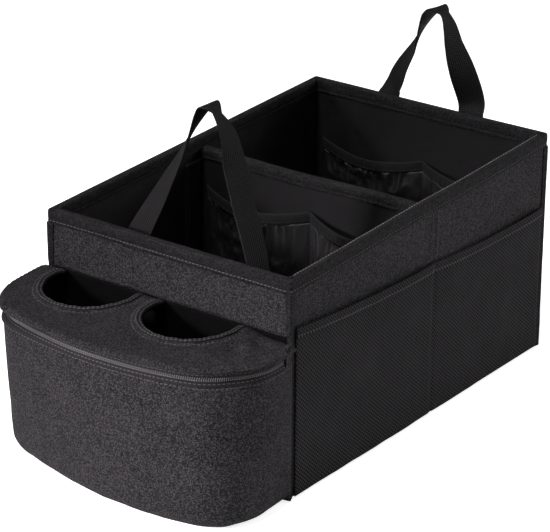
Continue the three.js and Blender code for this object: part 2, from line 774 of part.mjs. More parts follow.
addBox();
addRimHem();
addCornerSeams();
addDivider();
addGatheredPocket('divider', {
  pockets: 2,
  faceY: seamY - dividerHalf,
  outward: -1,
  xHalf: innerHalf - gap - dividerTabThick - dividerPocketMargin,
  top: dividerPocketTop,
  depth: dividerPocketDepth,
});
addGatheredPocket('back', {
  pockets: 2,
  faceY: backY - wallThick,
  outward: -1,
  xHalf: innerHalf - backPocketMargin,
  top: backPocketTop,
  depth: backPocketDepth,
});
addMeshPockets();
addPouch();
addLid();
addZip();
addSlider();
addHandles();

export default organizer;
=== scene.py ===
"""The looks of a car trunk organizer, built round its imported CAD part.

Lengths are millimetres in this script, and become metres when a mesh is made. +Z is up, +X runs
across the front, and the pouch points to -Y. A grid holds rows of points on a sheet's outer face.
"""
import json
import math

import bpy
import numpy as np
from mathutils import Matrix, Vector
from mathutils.geometry import delaunay_2d_cdt


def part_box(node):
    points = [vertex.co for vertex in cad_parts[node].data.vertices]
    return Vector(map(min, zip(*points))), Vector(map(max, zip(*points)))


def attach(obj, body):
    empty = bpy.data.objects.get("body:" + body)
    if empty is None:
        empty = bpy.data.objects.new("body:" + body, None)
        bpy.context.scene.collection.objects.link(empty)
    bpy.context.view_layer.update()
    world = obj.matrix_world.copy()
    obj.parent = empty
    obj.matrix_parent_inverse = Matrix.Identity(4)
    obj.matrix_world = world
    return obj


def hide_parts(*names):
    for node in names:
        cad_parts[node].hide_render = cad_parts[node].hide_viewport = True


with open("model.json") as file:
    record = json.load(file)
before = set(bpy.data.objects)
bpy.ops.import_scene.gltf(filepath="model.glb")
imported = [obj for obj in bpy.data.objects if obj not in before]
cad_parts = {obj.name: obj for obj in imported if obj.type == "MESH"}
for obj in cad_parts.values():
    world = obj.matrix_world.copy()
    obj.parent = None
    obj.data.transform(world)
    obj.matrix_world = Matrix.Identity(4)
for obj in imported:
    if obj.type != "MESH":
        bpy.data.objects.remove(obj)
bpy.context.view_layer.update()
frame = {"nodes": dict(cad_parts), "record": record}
MM = 0.001
SLOT_OF = {part["node"]: part["material_slot"] for part in frame["record"]["subparts"]}
BODY_OF = {node: body for body, nodes in frame["record"]["behaviour"]["bodies"].items() for node in nodes}

# ---------------------------------------------------------------- sizes read from the frame


def corners(node):
    low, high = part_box(node)
    return np.array(low) / MM, np.array(high) / MM


BOTTOM_LOW, BOTTOM_HIGH = corners("bottom_panel")
HALF = BOTTOM_HIGH[0]
FRONT_Y, BACK_Y = BOTTOM_LOW[1], BOTTOM_HIGH[1]
CLOTH = BOTTOM_HIGH[2]
GAP = corners("front_panel")[0][2] - CLOTH
WALL_LOW = CLOTH + GAP
INNER_HALF = -corners("left_lining")[1][0]
WALL = HALF - INNER_HALF
HEM_OUT = corners("rim_hem")[1][0] - HALF
SEAM_Y = corners("front_base_board")[1][1] + GAP
BASE_TOP = corners("front_base_board")[1][2]
RIM_FRONT = corners("front_panel")[1][2] + HEM_OUT
RIM_BACK = corners("rim_hem")[1][2]
DIVIDER_LOW, DIVIDER_HIGH = corners("divider_hem")
COVER_LOW, COVER_HIGH = corners("divider_cover")
DIVIDER_REACH = COVER_HIGH[0]
LID_HIGH = corners("lid_panel")[1]
BAND_LOW = corners("lid_band")[0][2]
POUCH_HALF, POUCH_BACK, POUCH_TOP = corners("pouch_wall")[1]
TAPE_LOW = corners("zip_lower_tape")[0][2]
COIL_LOW, COIL_MIDDLE = (corner[2] for corner in corners("zip_lower_coil"))
UPPER_COIL_LOW, COIL_TOP = (corner[2] for corner in corners("zip_upper_coil"))
ZIP_LEFT = corners("zip_left_end_tab")[0][1] - GAP
ZIP_RIGHT = corners("zip_right_end_tab")[0][1] - GAP
UPPER_COIL_LEFT = corners("zip_slider")[0][1] - 2 * GAP

HEM_HEIGHT = 13
LID_THICK = 2.6
LID_RISE = 4.6
POUCH_REACH = 98
CORNER_RADIUS = 54
FRONT_RADIUS = 320
CUP_RADIUS = 41
CUP_Y = FRONT_Y - 15
CUP_X = {"left": -70, "right": 38}
WEB_WIDTH = 25
WEB_THICK = 1.8

STITCH_LENGTH = 2.6
STITCH_PITCH = 3.9
THREAD = 0.42


def rim_z(y):
    return RIM_FRONT + (RIM_BACK - RIM_FRONT) * (y - FRONT_Y) / (BACK_Y - FRONT_Y)


def lid_z(y):
    return LID_HIGH[2] - LID_RISE * (LID_HIGH[1] - y) / POUCH_REACH


# ---------------------------------------------------------------- shapes


def mix(a, b, t):
    return a + (b - a) * t


def ease(t):
    t = np.clip(t, 0, 1)
    return t * t * (3 - 2 * t)


def bell(distance, width):
    return np.exp(-((np.asarray(distance) / width) ** 2))


def wave(distance, pitch, shift=0):
    return np.sin(2 * math.pi * distance / pitch + shift)


def noise(x, y, size, seed):
    """Smooth bumps about size apart, between -1 and 1."""
    table = np.random.default_rng(seed).uniform(-1, 1, (64, 64))
    fx, fy = np.broadcast_arrays(np.asarray(x, float) / size + 17.3, np.asarray(y, float) / size + 9.1)
    ix, iy = np.floor(fx).astype(int), np.floor(fy).astype(int)
    tx, ty = ease(fx - ix), ease(fy - iy)
    at = lambda a, b: table[(ix + a) % 64, (iy + b) % 64]
    return mix(mix(at(0, 0), at(1, 0), tx), mix(at(0, 1), at(1, 1), tx), ty)


def creased(x, y, size, seed):
    """Sharp-topped creases about size apart, between -1 and 1."""
    return 1 - 2 * np.abs(noise(x, y, size, seed))


def unit(vectors):
    return vectors / np.maximum(np.linalg.norm(vectors, axis=-1, keepdims=True), 1e-9)


def directions(angles):
    return np.stack([np.cos(angles), np.sin(angles)], axis=-1)


def distances(points):
    """How far along a line each of its points lies."""
    return np.concatenate([[0], np.cumsum(np.linalg.norm(np.diff(points, axis=0), axis=1))])


def resample(values, along, wanted):
    """Values that are given at distances along a line, at the wanted distances."""
    return np.stack([np.interp(wanted, along, column) for column in values.T], axis=1)


def grid_of(x, y, z):
    return np.stack(np.broadcast_arrays(x, y, z), axis=-1)


def grid_normals(grid, loop=False):
    along = np.roll(grid, -1, 1) - np.roll(grid, 1, 1) if loop else np.gradient(grid, axis=1)
    return unit(np.cross(along, np.gradient(grid, axis=0)))


def quads_between(rows):
    return np.stack([rows[:-1, :-1], rows[:-1, 1:], rows[1:, 1:], rows[1:, :-1]], axis=-1).reshape(-1, 4)


def shell(grid, thick, loop=False):
    """A closed sheet whose outer face is the grid. Its columns close on themselves if loop."""
    rows, columns = grid.shape[:2]
    count = rows * columns
    index = np.arange(count).reshape(rows, columns)
    if loop:
        index = np.hstack([index, index[:, :1]])
    edges = [index[0], index[-1][::-1]] + ([] if loop else [index[::-1, 0], index[:, -1]])
    faces = [quads_between(index), quads_between(index + count)[:, ::-1]]
    faces += [np.stack([e[1:], e[:-1], e[:-1] + count, e[1:] + count], axis=1) for e in edges]
    inner = grid - grid_normals(grid, loop) * thick
    uv = np.stack(np.meshgrid(distances(grid[rows // 2]), distances(grid[:, columns // 2])), axis=2)
    uv = uv.reshape(-1, 2)
    return np.vstack([grid.reshape(-1, 3), inner.reshape(-1, 3)]), np.vstack(faces), np.vstack([uv, uv])


def link(made):
    bpy.context.scene.collection.objects.link(made)
    return made


def make(name, parts, material, nodes=(), body=None):
    """One mesh object from parts, each (points, faces, uv).

    It stands for CAD nodes and has the first one's body, unless a body is given."""
    faces, start = [], 0
    for points, part_faces, _ in parts:
        rows = part_faces.tolist() if isinstance(part_faces, np.ndarray) else part_faces
        faces += [[i + start for i in face] for face in rows]
        start += len(points)
    mesh = bpy.data.meshes.new(name)
    mesh.from_pydata((np.vstack([part[0] for part in parts]) * MM).tolist(), [], faces)
    mesh.validate()
    layer = mesh.uv_layers.new(name="cloth")
    loops = np.zeros(len(mesh.loops), int)
    mesh.loops.foreach_get("vertex_index", loops)
    layer.data.foreach_set("uv", np.vstack([part[2] for part in parts])[loops].ravel())
    mesh.polygons.foreach_set("use_smooth", [True] * len(mesh.polygons))
    mesh.materials.append(material)
    mesh.update()
    piece = link(bpy.data.objects.new(name, mesh))
    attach(piece, body or BODY_OF[nodes[0]])
    if nodes:
        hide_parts(*nodes)
    return piece


def cloth(name, grid, thick, material, nodes, loop=False):
    piece = make(name, [shell(grid, thick, loop)], material, nodes)


def wall_grid(origin, along, length, height, relief, step):
    """Points of an upright sheet. relief(u, v, height) stands out of it, along x Z."""
    us = np.linspace(0, length, max(4, round(length / step)) + 1)
    heights = height(us) + 0 * us
    u, share = np.meshgrid(us, np.linspace(0, 1, max(3, round(float(heights.max()) / step)) + 1))
    v = share * heights
    along, up = np.array(along, float), np.array([0, 0, 1.0])
    stand = relief(u, v, heights + 0 * u)[..., None] * np.cross(along, up)
    return np.array(origin, float) + u[..., None] * along + v[..., None] * up + stand


def slack(u, v, height, seed, depth):
    """How sewn cloth stands off its board: broad swells, small ripples, puckers at the seams."""
    side = np.minimum(u, u.max() - u)
    top = np.minimum(v, height - v)
    free = (1 - np.exp(-side / 14)) * (1 - np.exp(-top / 14))
    swell = depth * (noise(u, v, 62, seed) + 0.6 * noise(u, v * 0.7, 27, seed + 1))
    pucker = wave(u, 7.3, 2.5 * noise(u, v, 30, seed + 2)) * np.exp(-top / 6)
    return free * swell + 0.16 * depth * pucker


def tubes(rings):
    """Many short open tubes of one kind: rings[k][j] has the place of every tube's point j of ring k."""
    rings = np.array(rings)
    sections, around, count = rings.shape[:3]
    index = np.arange(sections * around).reshape(sections, around)
    quads = quads_between(np.hstack([index, index[:, :1]]))
    faces = (np.arange(count)[:, None, None] * sections * around + quads).reshape(-1, 4)
    points = rings.transpose(2, 0, 1, 3).reshape(-1, 3)
    return points, faces, np.zeros((len(points), 2))


STITCH_RINGS = ((-0.5, 0.35, -0.3), (-0.3, 0.95, 0.1), (0.3, 0.95, 0.1), (0.5, 0.35, -0.3))


def stitches(points, normals, lift=0.0):
    """A row of thread along a line of points that lie on the cloth."""
    along = distances(points)
    count = int(along[-1] // STITCH_PITCH)
    middles = (np.arange(count) + 0.5) * along[-1] / count
    centre = resample(points, along, middles)
    normal = unit(resample(normals, along, middles))
    tangent = unit(resample(points, along, middles + 0.5) - resample(points, along, middles - 0.5))
    across = np.cross(normal, tangent)
    ring = directions(np.arange(5) * 2 * math.pi / 5) * THREAD
    return tubes([[centre + tangent * (shift * STITCH_LENGTH) + across * (c * radius)
                   + normal * (s * radius + rise * THREAD + lift) for c, s in ring]
                  for shift, radius, rise in STITCH_RINGS])


thread_parts = {"box": [], "lid": [], "inner": [], "edge": []}


def sew(grid, place, where="box", lift=0.0, loop=False):
    """Stitches along the row or column of a grid that place picks out, for one of the threads."""
    thread_parts[where].append(stitches(grid[place], grid_normals(grid, loop)[place], lift))


# ---------------------------------------------------------------- materials


class Nodes:
    """Builds one material's nodes."""

    def __init__(self, name):
        self.material = bpy.data.materials.new(name)
        self.material.use_nodes = True
        self.tree = self.material.node_tree
        self.shader = self.tree.nodes["Principled BSDF"]

    def node(self, kind, values=None, **properties):
        made = self.tree.nodes.new(kind)
        for key, value in properties.items():
            setattr(made, key, value)
        for key, value in (values or {}).items():
            self.put(made.inputs[key], value)
        return made

    def put(self, socket, value):
        if isinstance(value, bpy.types.NodeSocket):
            self.tree.links.new(value, socket)
        else:
            socket.default_value = value

    def math(self, operation, *values):
        return self.node("ShaderNodeMath", dict(enumerate(values)), operation=operation).outputs[0]

    def times(self, a, b):
        return self.math("MULTIPLY", a, b)

    def mix(self, share, a, b):
        return self.node("ShaderNodeMix", {0: share, 6: a, 7: b}, data_type="RGBA").outputs[2]

    def tint(self, share, dark, light):
        return self.mix(share, grey(dark), grey(light))

    def remap(self, value, low, high, to_low, to_high):
        made = self.node("ShaderNodeMapRange", {0: value, 1: low, 2: high, 3: to_low, 4: to_high})
        return made.outputs[0]

    def cloth_uv(self):
        uv = self.node("ShaderNodeUVMap", uv_map="cloth").outputs[0]
        parts = self.node("ShaderNodeSeparateXYZ", {0: uv})
        return uv, parts.outputs[0], parts.outputs[1]

    def noise(self, vector, scale, detail=2.0, rough=0.6):
        values = {"Vector": vector, "Scale": scale, "Detail": detail, "Roughness": rough}
        return self.node("ShaderNodeTexNoise", values).outputs[0]

    def cells(self, vector, size):
        """A random value for each square of cloth."""
        squares = self.node("ShaderNodeVectorMath", {0: vector, 1: (size, size, size)}, operation="SNAP")
        values = {"Vector": squares.outputs[0]}
        return self.node("ShaderNodeTexWhiteNoise", values, noise_dimensions="2D").outputs["Value"]

    def waves(self, value, pitch, shift=0.0):
        return self.math("SINE", self.math("MULTIPLY_ADD", value, math.pi / pitch, shift))

    def ribs(self, value, pitch, shift=0.0):
        return self.math("ABSOLUTE", self.waves(value, pitch, shift))

    def finish(self, colour, roughness, height, distance, strength=1.0, specular=0.4, metallic=0.0):
        s = self.shader.inputs
        self.put(s["Base Color"], colour)
        self.put(s["Roughness"], roughness)
        s["Specular IOR Level"].default_value = specular
        s["Metallic"].default_value = metallic
        bump = self.node("ShaderNodeBump", {"Height": height, "Distance": distance, "Strength": strength})
        self.put(s["Normal"], bump.outputs[0])
        return self.material


def grey(value):
    return (value, value * 0.97, value, 1)


def plain_weave(n, u, v, pitch):
    """Height of a plain weave: each thread passes over and under its neighbours."""
    over = n.math("GREATER_THAN", n.times(n.waves(u, pitch), n.waves(v, pitch)), 0.0)
    warp = n.times(over, n.math("POWER", n.ribs(u, pitch), 0.6))
    weft = n.times(n.math("SUBTRACT", 1.0, over), n.math("POWER", n.ribs(v, pitch), 0.6))
    return n.math("ADD", warp, weft)


WEAVE_PITCH = 0.72
GLINT_SPECK_SIZE = 0.92


def woven_material(name, light):
    """Coarse plain weave of coated threads, whose glints are painted into its colour as scattered light
    specks.
    """
    n = Nodes(name)
    uv, u, v = n.cloth_uv()
    weave = plain_weave(n, u, v, WEAVE_PITCH)
    grain = n.noise(uv, 1.6)
    spread = n.remap(grain, 0.34, 0.66, 0.0, 1.0)
    # painted highlight: the light specks in the colour stand in for glints on the coated threads
    speck = n.math("POWER", n.math("MULTIPLY_ADD", n.cells(uv, GLINT_SPECK_SIZE), 0.82, n.times(spread, 0.18)), 2.4)
    patch = n.times(n.math("SUBTRACT", n.noise(uv, 0.03, 3.0, 0.5), 0.5), 0.22)
    share = n.math("ADD", n.math("MULTIPLY_ADD", weave, 0.10, n.times(speck, 1.1)), patch)
    height = n.math("MULTIPLY_ADD", grain, 0.9, weave)
    roughness = n.remap(grain, 0.35, 0.7, 0.74, 0.54)
    return n.finish(n.tint(share, 0.0008, light), roughness, height, 0.34 * MM, 0.9, 0.10)


def mesh_material(name):
    """Knitted net: small dark holes in slanting rows."""
    n = Nodes(name)
    uv, u, v = n.cloth_uv()
    rising = n.ribs(n.math("ADD", n.times(u, 0.66), n.times(v, 0.75)), 2.7)
    falling = n.ribs(n.math("SUBTRACT", n.times(u, 0.72), n.times(v, 0.69)), 2.9)
    hole = n.times(n.remap(rising, 0.22, 0.55, 0.0, 1.0), n.remap(falling, 0.22, 0.55, 0.0, 1.0))
    cord = n.math("SUBTRACT", 1.0, hole)
    grain = n.noise(uv, 0.8)
    broad = n.math("SUBTRACT", n.noise(uv, 0.02, 2.0, 0.5), 0.5)
    share = n.math("MULTIPLY_ADD", broad, 0.3, n.times(cord, n.remap(grain, 0.35, 0.65, 0.6, 1.2)))
    roughness = n.remap(grain, 0.3, 0.7, 0.65, 0.85)
    return n.finish(n.tint(share, 0.0003, 0.044), roughness, cord, 0.5 * MM, 0.8, 0.10)


def webbing_material(name):
    """Strap weave: lengthwise ribs broken into dots that slant across the strap."""
    n = Nodes(name)
    uv, u, v = n.cloth_uv()
    rib = n.ribs(v, 2.1)
    row = n.math("FLOOR", n.math("DIVIDE", v, 2.1))
    weft = n.ribs(u, 2.2, n.times(row, math.pi / 3))
    height = n.math("MULTIPLY_ADD", weft, 0.45, rib)
    grain = n.noise(uv, 0.9)
    share = n.times(n.math("POWER", n.times(rib, weft), 2.5), n.remap(grain, 0.3, 0.7, 0.5, 1.3))
    roughness = n.remap(grain, 0.3, 0.7, 0.6, 0.75)
    return n.finish(n.tint(share, 0.0008, 0.030), roughness, height, 0.4 * MM, 0.9, 0.12)


def ribbed_material(name, pitch, dark, light, along_v=True):
    """Fine ribs across a narrow tape or elastic."""
    n = Nodes(name)
    uv, u, v = n.cloth_uv()
    rib = n.ribs(v if along_v else u, pitch)
    cross = n.ribs(u if along_v else v, pitch * 0.8)
    grain = n.noise(uv, 0.8)
    height = n.math("MULTIPLY_ADD", cross, 0.4, rib)
    share = n.times(height, n.remap(grain, 0.3, 0.7, 0.4, 0.9))
    roughness = n.remap(grain, 0.3, 0.7, 0.6, 0.8)
    return n.finish(n.tint(share, dark, light), roughness, height, 0.22 * MM, 0.8, 0.14)


def lining_material(name, dark, light, rough, specular):
    """Thin smooth lining with a soft gloss."""
    n = Nodes(name)
    uv, u, v = n.cloth_uv()
    crumple = n.noise(uv, 0.05, 5.0, 0.55)
    share = n.math("MULTIPLY_ADD", crumple, 0.6, n.times(n.noise(uv, 0.7), 0.4))
    height = n.math("MULTIPLY_ADD", crumple, 9.0, plain_weave(n, u, v, 0.45))
    roughness = n.remap(crumple, 0.3, 0.7, rough - 0.1, rough + 0.1)
    return n.finish(n.tint(share, dark, light), roughness, height, 0.16 * MM, 0.7, specular)


def solid_material(name, base, rough, metallic=0.0, specular=0.5):
    """Moulded or painted pieces: faint mottling and fine scratches."""
    n = Nodes(name)
    place = n.node("ShaderNodeTexCoord").outputs["Object"]
    mottle = n.noise(place, 180.0, 3.0, 0.55)
    grain = n.noise(place, 900.0, 3.0)
    roughness = n.remap(grain, 0.3, 0.7, rough - 0.08, rough + 0.1)
    return n.finish(n.tint(mottle, base * 0.75, base * 1.3), roughness, grain, 0.05 * MM, 0.5, specular,
                    metallic)


OXFORD = woven_material("oxford", 0.072)
# a darker copy of the walls' oxford for the lid's top face: painted shade
LID_SHADED_OXFORD = woven_material("lid_oxford_painted_shade", 0.056)
HEM_CLOTH = woven_material("hem_cloth", 0.034)
NET = mesh_material("net")
LINING = lining_material("lining", 0.002, 0.010, 0.5, 0.2)
SATIN = lining_material("satin", 0.0015, 0.010, 0.40, 0.45)
# a near-black copy of the lining: painted shade for the inside of the pouch under the lid
POUCH_PAINTED_SHADE = lining_material("pouch_painted_shade", 0.0004, 0.0016, 0.75, 0.05)
WEBBING = webbing_material("webbing")
TAPE = ribbed_material("tape", 0.8, 0.002, 0.026)
BINDING = ribbed_material("binding", 1.6, 0.001, 0.015)
ELASTIC = ribbed_material("elastic", 1.1, 0.001, 0.009, False)
THREAD_LIGHT = solid_material("thread", 0.075, 0.5, specular=0.3)
# light grey thread for one row along the right rim's inner edge: a painted highlight where the fold's edge
# catches the light
HIGHLIGHT_THREAD = solid_material("edge_thread", 0.2, 0.5, specular=0.3)
THREAD_DARK = solid_material("dark_thread", 0.012, 0.6, specular=0.15)
# light grey: the coil's own colour lifted to paint in its glints and to offset the shade of its recess
COIL_WITH_GLINT = solid_material("coil", 0.19, 0.38)
METAL = solid_material("dark_metal", 0.05, 0.36, 1.0)
BOARD = solid_material("board", 0.05, 0.7)

# ---------------------------------------------------------------- box

WALL_DEPTH = 0.75
OUTER_END = HALF - 0.2
# each wall's line: where it starts and its direction, so that the outside is on its right
WALLS = {"front": (-OUTER_END, FRONT_Y, 1, 0), "back": (OUTER_END, BACK_Y, -1, 0),
         "right": (HALF, FRONT_Y, 0, 1), "left": (-HALF, BACK_Y, 0, -1)}
LININGS = {"front": (INNER_HALF, FRONT_Y, -1, 0), "back": (-INNER_HALF, BACK_Y, 1, 0),
           "right": (INNER_HALF, BACK_Y, 0, -1), "left": (-INNER_HALF, FRONT_Y, 0, 1)}


def wall_sheet(line, inset, relief, step):
    """The grid, the length and the middle height of a wall that is inset from the box's faces."""
    x, y, along_x, along_y = line
    length = 2 * abs(x) if along_x else BACK_Y - FRONT_Y - 2 * inset
    height = lambda u: rim_z(y + along_y * u) - HEM_OUT - WALL_LOW
    start = (x, y + inset if y == FRONT_Y else y - inset, WALL_LOW)
    grid = wall_grid(start, (along_x, along_y, 0), length, height, relief, step)
    return grid, length, float(height(length / 2))


def build_walls():
    """Outer cloth of the four walls and the linings inside them."""
    for k, (name, line) in enumerate(WALLS.items()):
        seam = abs(SEAM_Y - line[1]) if line[3] else None

        def relief(u, v, height):
            stand = slack(u, v, height, 10 + 7 * k, WALL_DEPTH)
            if name == "front":  # the open lid lies against it
                stand = np.minimum(stand, 0.1)
            if seam:
                away = np.abs(u - seam)
                stand = stand - 0.9 * bell(away, 1.6) + 0.35 * bell(away - 4.5, 2.4)
            return stand

        grid, length, tall = wall_sheet(line, 0, relief, 3.0)
        if name == "front":
            split = int(np.searchsorted(grid[:, 5, 2], lid_z(FRONT_Y) - 2.0))
            # inside the pouch, below the lid, the front wall gets the near-black material: painted shade,
            # seen through the cup openings
            cloth("front_cloth_in_pouch", grid[:split + 1], CLOTH * 0.8, POUCH_PAINTED_SHADE, ["front_panel"])
            grid, tall = grid[split:], tall * (1 - split / len(grid))
        cloth(f"{name}_cloth", grid, CLOTH * 0.8, OXFORD, [f"{name}_panel"])
        if seam:
            column = round((seam + 4.0) / length * (grid.shape[1] - 1))
            sew(grid, (grid[:, column, 2] > 8, column))

    for k, (name, line) in enumerate(LININGS.items()):
        relief = lambda u, v, height: slack(u, v, height, 50 + 7 * k, 0.8) + 0.2
        grid, length, tall = wall_sheet(line, WALL, relief, 4.0)
        cloth(f"{name}_lining_cloth", grid, 0.6, LINING, [f"{name}_lining"])


def level_grid(half_x, y0, y1, z, step, up, depth=0.0):
    """A lying sheet that faces up (1) or down (-1), with its edges turned in."""
    xs = np.linspace(-half_x, half_x, round(2 * half_x / step) + 1)
    ys = np.linspace(y0, y1, round((y1 - y0) / step) + 1)
    x, y = np.meshgrid(xs, ys[::up])
    edge = np.minimum.reduce([x + half_x, half_x - x, y - y0, y1 - y])
    lift = depth * (1 - np.exp(-edge / 10)) * (0.6 + 0.4 * noise(x, y, 40, 95)) - 0.6 * np.exp(-edge / 1.6)
    return grid_of(x, y, z + up * lift)


def build_bottom():
    """The cloth under the box and the covered boards on its floor."""
    under = level_grid(HALF, FRONT_Y, BACK_Y, 0.75, 5.0, -1)
    under[..., 2] = np.maximum(under[..., 2], 0.0)
    cloth("bottom_cloth", under, CLOTH * 0.6, OXFORD, ["bottom_panel"])
    half = INNER_HALF - 0.6
    for name, y0, y1 in (("front", FRONT_Y + WALL + 0.6, SEAM_Y - 0.5),
                         ("rear", SEAM_Y + 0.5, BACK_Y - WALL - 0.6)):
        floor = level_grid(half, y0, y1, BASE_TOP - 0.4, 4.0, 1, 0.5)
        cloth(f"{name}_base_cover", floor, BASE_TOP - 0.6 - WALL_LOW, LINING, [f"{name}_base_board"])


def rounded_loop(half_x, y0, y1, radius, step, corner_steps=6):
    """Points round a rectangle, anticlockwise from above, with their outward directions."""
    centres = [np.array([sx * (half_x - radius), y]) for sx, y in
               ((1, y0 + radius), (1, y1 - radius), (-1, y1 - radius), (-1, y0 + radius))]
    points, sides = [], []
    for k, centre in enumerate(centres):
        corner = directions(np.radians(90 * (k - 1) + 90 * np.arange(corner_steps + 1) / corner_steps))
        last = centre + radius * corner[-1]
        run = centres[(k + 1) % 4] + radius * directions(math.radians(90 * k)) - last
        count = max(2, round(float(np.linalg.norm(run)) / step))
        points += [centre + radius * corner, last + run * np.arange(1, count)[:, None] / count]
        sides += [corner, np.tile(corner[-1], (count - 1, 1))]
    return np.vstack(points), np.vstack(sides)


def build_rim():
    """The folded tape over the walls' top edge: a rounded top, pressed flat along its stitching."""
    radius, full = 2.6, WALL + 2 * HEM_OUT
    points, sides = rounded_loop(HALF + HEM_OUT, FRONT_Y - HEM_OUT, BACK_Y + HEM_OUT, radius, 2.5)
    outer = [(0.75, 0.2 - HEM_HEIGHT), (0.25, 0.15 - HEM_HEIGHT), (0.0, 0.8 - HEM_HEIGHT), (0.0, -10.8),
             (0.35, -10.2), (0.35, -9.8), (0.0, -9.0), (-0.2, -7), (-0.25, -5), (-0.15, -3), (0.0, -1.6),
             (0.35, -0.7), (1.0, -0.2), (1.9, 0.0)]
    profile = outer + [(full / 2, 0.0)] + [(full - depth, z) for depth, z in outer[:1:-1]]
    profile.append((full - 0.3, 0.15 - HEM_HEIGHT))
    along = distances(points)
    # past the corner's centre the inner side keeps its straight runs and a sharp corner
    at_corner = np.all(np.abs(sides) < 0.999, axis=1, keepdims=True)
    inward = np.where(at_corner | (np.abs(sides) > 0.999), np.sign(sides), 0)
    sag = 0.5 * noise(along, 0, 70, 5)
    rows = []
    for depth, z in profile:
        near = min(depth, radius - 0.2)
        base = points - sides * near - inward * (depth - near)
        bulge = 0.25 * noise(along, z * 0.3, 26, 3) + 0.12 * noise(along, 0, 9, 4)
        pucker = 0.1 * wave(along, STITCH_PITCH) * bell(z + 10, 2.0)
        out = (bulge * ease(-z / 6) * (1 if depth < full / 2 else -1) + pucker)[:, None] * sides
        rows.append(np.column_stack([base + out, rim_z(base[:, 1]) + z + sag]))
    grid = np.array(rows)
    cloth("rim_tape", grid, 0.7, HEM_CLOTH, ["rim_hem"],
          loop=True)
    sew(grid, 4, "box", 0.1, loop=True)
    sew(grid, 24, "inner", 0.1, loop=True)
    # the right wall's rim gets a row of light thread along its inner top edge: a painted highlight of the
    # fold's edge
    y = grid[15, :, 1]
    right = (sides[:, 0] > 0.999) & (y > FRONT_Y + 8) & (y < BACK_Y - 8)
    sew(grid, (15, right), "edge", loop=True)


SEAM_LEG = 5


def build_corner_seams():
    """A narrow rounded ridge down each upright corner."""
    half = [(-SEAM_LEG, 0.25), (0.4 - SEAM_LEG, 0.95), (-3.4, 1.0), (-2.0, 1.15), (-0.9, 1.5), (0.1, 1.75),
            (0.95, 1.62)]
    profile = half + [(1.4, 1.4)] + [(b, a) for a, b in half[::-1]]
    for end, y, out_y in (("front", FRONT_Y, -1), ("back", BACK_Y, 1)):
        top = rim_z(y) - HEM_HEIGHT + 0.6
        zs = np.linspace(WALL_LOW - 1.0, top, 60)
        slim = 0.72 + 0.28 * ease((zs - lid_z(FRONT_Y)) / 6) if end == "front" else 1.0
        for side, sign in (("left", -1), ("right", 1)):
            px, py = np.array(profile[::sign * out_y]).T[:, :, None]
            swell = (1 + 0.1 * noise(zs, px, 14, 21)) * slim
            grid = grid_of(sign * (HALF + px * swell), y + out_y * py * swell, zs)
            cloth(f"{end}_{side}_seam_ridge", grid, 0.6, HEM_CLOTH, [f"{end}_{side}_corner_seam"])


MESH_TOP = {"front": 157.0, "seam": 146.0, "back": 142.0}
MESH_SAG = 2.5
MESH_HEM = 10
MESH_LOW = 1.5
MESH_INSET = 5.5
MESH_FACE = HALF + 1.0


def mesh_top(y):
    """Height of the net pockets' top edge, which sags between the corners and the middle seam."""
    in_front = y < SEAM_Y
    y0, y1 = np.where(in_front, FRONT_Y, SEAM_Y), np.where(in_front, SEAM_Y, BACK_Y)
    z0 = np.where(in_front, MESH_TOP["front"], MESH_TOP["seam"])
    z1 = np.where(in_front, MESH_TOP["seam"], MESH_TOP["back"])
    share = (y - y0) / (y1 - y0)
    return mix(z0, z1, share) - MESH_SAG * 4 * share * (1 - share)


def build_mesh_pockets():
    """Net pockets outside the long walls, a little slack at the top, stitched down at the middle seam."""
    length = BACK_Y - FRONT_Y - 2 * MESH_INSET
    for side, sign in (("left", -1), ("right", 1)):
        start_y = FRONT_Y + MESH_INSET if sign > 0 else BACK_Y - MESH_INSET
        seam = abs(SEAM_Y - start_y)
        hem_low = lambda u: mesh_top(start_y + sign * u) - MESH_HEM

        def stand(u, v, height):
            near = np.minimum.reduce([u, length - u, np.abs(u - seam)])
            free = 1 - np.exp(-near / 16)
            belly = 1.5 * free * ease(v / height) ** 2
            slackness = 0.7 * free * (noise(u, v, 46, 31) + 0.5 * noise(u, v, 17, 32))
            dimple = -0.9 * bell(np.abs(u - seam), 1.8) * (1 - 0.2 * noise(v, 0, 9, 33))
            return 0.35 + np.maximum(belly + slackness, -0.2) + dimple + 0.5 * WALL_DEPTH

        cloth_top = lambda u: hem_low(u) - MESH_LOW + 1.0
        grid = wall_grid((sign * MESH_FACE, start_y, MESH_LOW), (0, sign, 0), length, cloth_top, stand, 3.0)
        cloth(f"{side}_net", grid, 0.5, NET, [f"{side}_mesh_pocket"])

        us = np.linspace(0, length, round(length / 2.5) + 1)
        share = np.linspace(0, 1, 13)[:, None]
        v = share * MESH_HEM
        fold = 0.9 * np.sqrt(1 - (2 * share - 1) ** 8) + 0.25 * np.sin(math.pi * share)
        pressed = 0.12 * wave(us, 5.3) * bell(v - 2.2, 2.5) - 0.35 * bell(v - 2.2, 0.8)
        out = stand(us, 140, 140) + fold + pressed
        hem = grid_of(sign * (MESH_FACE + out), start_y + sign * us, hem_low(us) + v)
        cloth(f"{side}_net_hem", hem, 1.0, NET, [f"{side}_mesh_hem"])
        sew(hem, 3, lift=0.15)


# ---------------------------------------------------------------- divider and inside pockets


def over_divider(profile, step, shift):
    """A sheet that runs up the divider's front, over its top and down its rear. shift(xs, z) moves it."""
    xs = np.linspace(DIVIDER_REACH, -DIVIDER_REACH, round(2 * DIVIDER_REACH / step) + 1)
    rows = []
    for y, z in profile:
        dy, dz = shift(xs, z)
        rows.append(np.column_stack([xs, SEAM_Y + y + np.sign(y) * dy, z + dz]))
    return np.array(rows)


